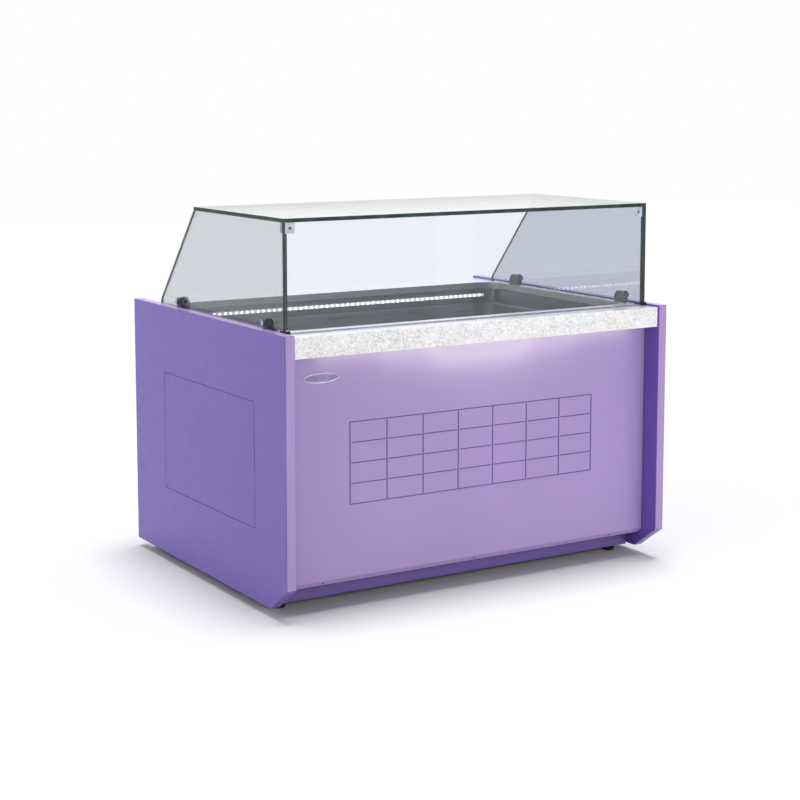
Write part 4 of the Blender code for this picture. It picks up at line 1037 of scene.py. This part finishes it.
# ---------------------------------------------------------------- floor, light and camera
def make_floor():
    """A wide matt floor, a hair below the feet."""
    half_size, below_feet, grey = 14.0, 0.0003, (0.60, 0.60, 0.605, 1.0)
    bm = bmesh.new()
    bmesh.ops.create_grid(bm, x_segments=2, y_segments=2, size=half_size)
    look = Look("studio_floor")
    diffuse = look.node("ShaderNodeBsdfDiffuse")
    diffuse.inputs["Color"].default_value = grey
    look.feed(look.output.inputs["Surface"], diffuse.outputs[0])
    floor = shape("studio_floor", bm, look.material)
    floor.location.z = -below_feet


make_floor()


def area_light(name, at, towards, size, power, colour=(1.0, 1.0, 1.0)):
    """A rectangular card of light, unseen by the camera."""
    data = bpy.data.lights.new(name, "AREA")
    data.shape = "RECTANGLE"
    data.size, data.size_y = size
    data.energy = power
    data.color = colour
    lamp = bpy.data.objects.new(name, data)
    lamp.matrix_world = aimed(at, Vector(at) - Vector(towards))
    lamp.visible_camera = False
    bpy.context.scene.collection.objects.link(lamp)
    return lamp


def broad_light(name, direction, angle, strength):
    """An even, soft light from one direction, as from a large and distant softbox."""
    data = bpy.data.lights.new(name, "SUN")
    data.angle = math.radians(angle)
    data.energy = strength
    lamp = bpy.data.objects.new(name, data)
    lamp.matrix_world = aimed((0.0, 0.0, 3.0), direction)
    bpy.context.scene.collection.objects.link(lamp)


def make_lights():
    """Softboxes above, in front and on the left, the strips under the stone, and two cards in front."""
    broad_light("overhead_softbox", direction=(0.06, 0.0, 1.0), angle=28, strength=3.1)
    broad_light("front_softbox", direction=(0.30, -1.0, 0.20), angle=36, strength=0.56)
    broad_light("side_softbox", direction=(-1.0, -0.1, 0.6), angle=50, strength=0.6)
    card_at, panel_at, card_size = (0.25, -2.3, 0.9), (0.1, -0.45, 0.80), (1.8, 0.5)
    front_card = area_light("front_card", card_at, panel_at, card_size, 14.5)
    front_card.visible_glossy = False
    under_stone, panel_top = (0.02, -0.479, 0.740), (0.02, -0.448, 0.734)
    strip_depth, strip_colour = 0.016, (0.72, 1.0, 0.36)
    for name, width, power in (("wide", 1.10, 0.22), ("middle", 0.64, 0.46), ("core", 0.30, 0.40)):
        size = (width, strip_depth)
        area_light(f"under_stone_{name}", under_stone, panel_top, size, power, strip_colour)
    card_at, pane_at, card_size = (1.585, -2.953, 0.65), (-0.076, -0.449, 0.95), (0.17, 0.75)
    area_light("reflector_card", card_at, pane_at, card_size, 0.12)


make_lights()


def make_world():
    """White behind the object and greyer on the customer's side, but plain white to the camera."""
    grey_from, white_from, grey, white = -0.40, 0.40, 0.22, 1.0
    world = bpy.data.worlds.new("studio")
    world.use_nodes = True
    tree = world.node_tree
    place = tree.nodes.new("ShaderNodeTexCoord")
    split = tree.nodes.new("ShaderNodeSeparateXYZ")
    tree.links.new(place.outputs["Generated"], split.inputs[0])
    ranged = tree.nodes.new("ShaderNodeMapRange")
    ranged.interpolation_type = "SMOOTHSTEP"
    for socket, value in zip(ranged.inputs[1:5], (grey_from, white_from, grey, white)):
        socket.default_value = value
    tree.links.new(split.outputs["Y"], ranged.inputs[0])
    path = tree.nodes.new("ShaderNodeLightPath")
    larger = tree.nodes.new("ShaderNodeMath")
    larger.operation = "MAXIMUM"
    tree.links.new(ranged.outputs[0], larger.inputs[0])
    tree.links.new(path.outputs["Is Camera Ray"], larger.inputs[1])
    background = tree.nodes["Background"]
    background.inputs["Color"].default_value = (1.0, 1.0, 1.0, 1.0)
    tree.links.new(larger.outputs[0], background.inputs["Strength"])
    bpy.context.scene.world = world


make_world()


def make_camera():
    """A slight tele view from the left, a little above the glass, tilted down."""
    heading, tilt_down = 31.7271, 7.0306
    data = bpy.data.cameras.new("camera")
    data.sensor_width = 36.0
    data.lens = 77.946
    data.shift_y = -0.12
    camera = bpy.data.objects.new("camera", data)
    camera.location = (-2.8441, -4.6226, 1.4712)
    camera.rotation_euler = (math.radians(90 - tilt_down), 0.0, math.radians(-heading))
    bpy.context.scene.collection.objects.link(camera)
    bpy.context.scene.camera = camera


make_camera()
bpy.context.scene.view_settings.view_transform = "Standard"
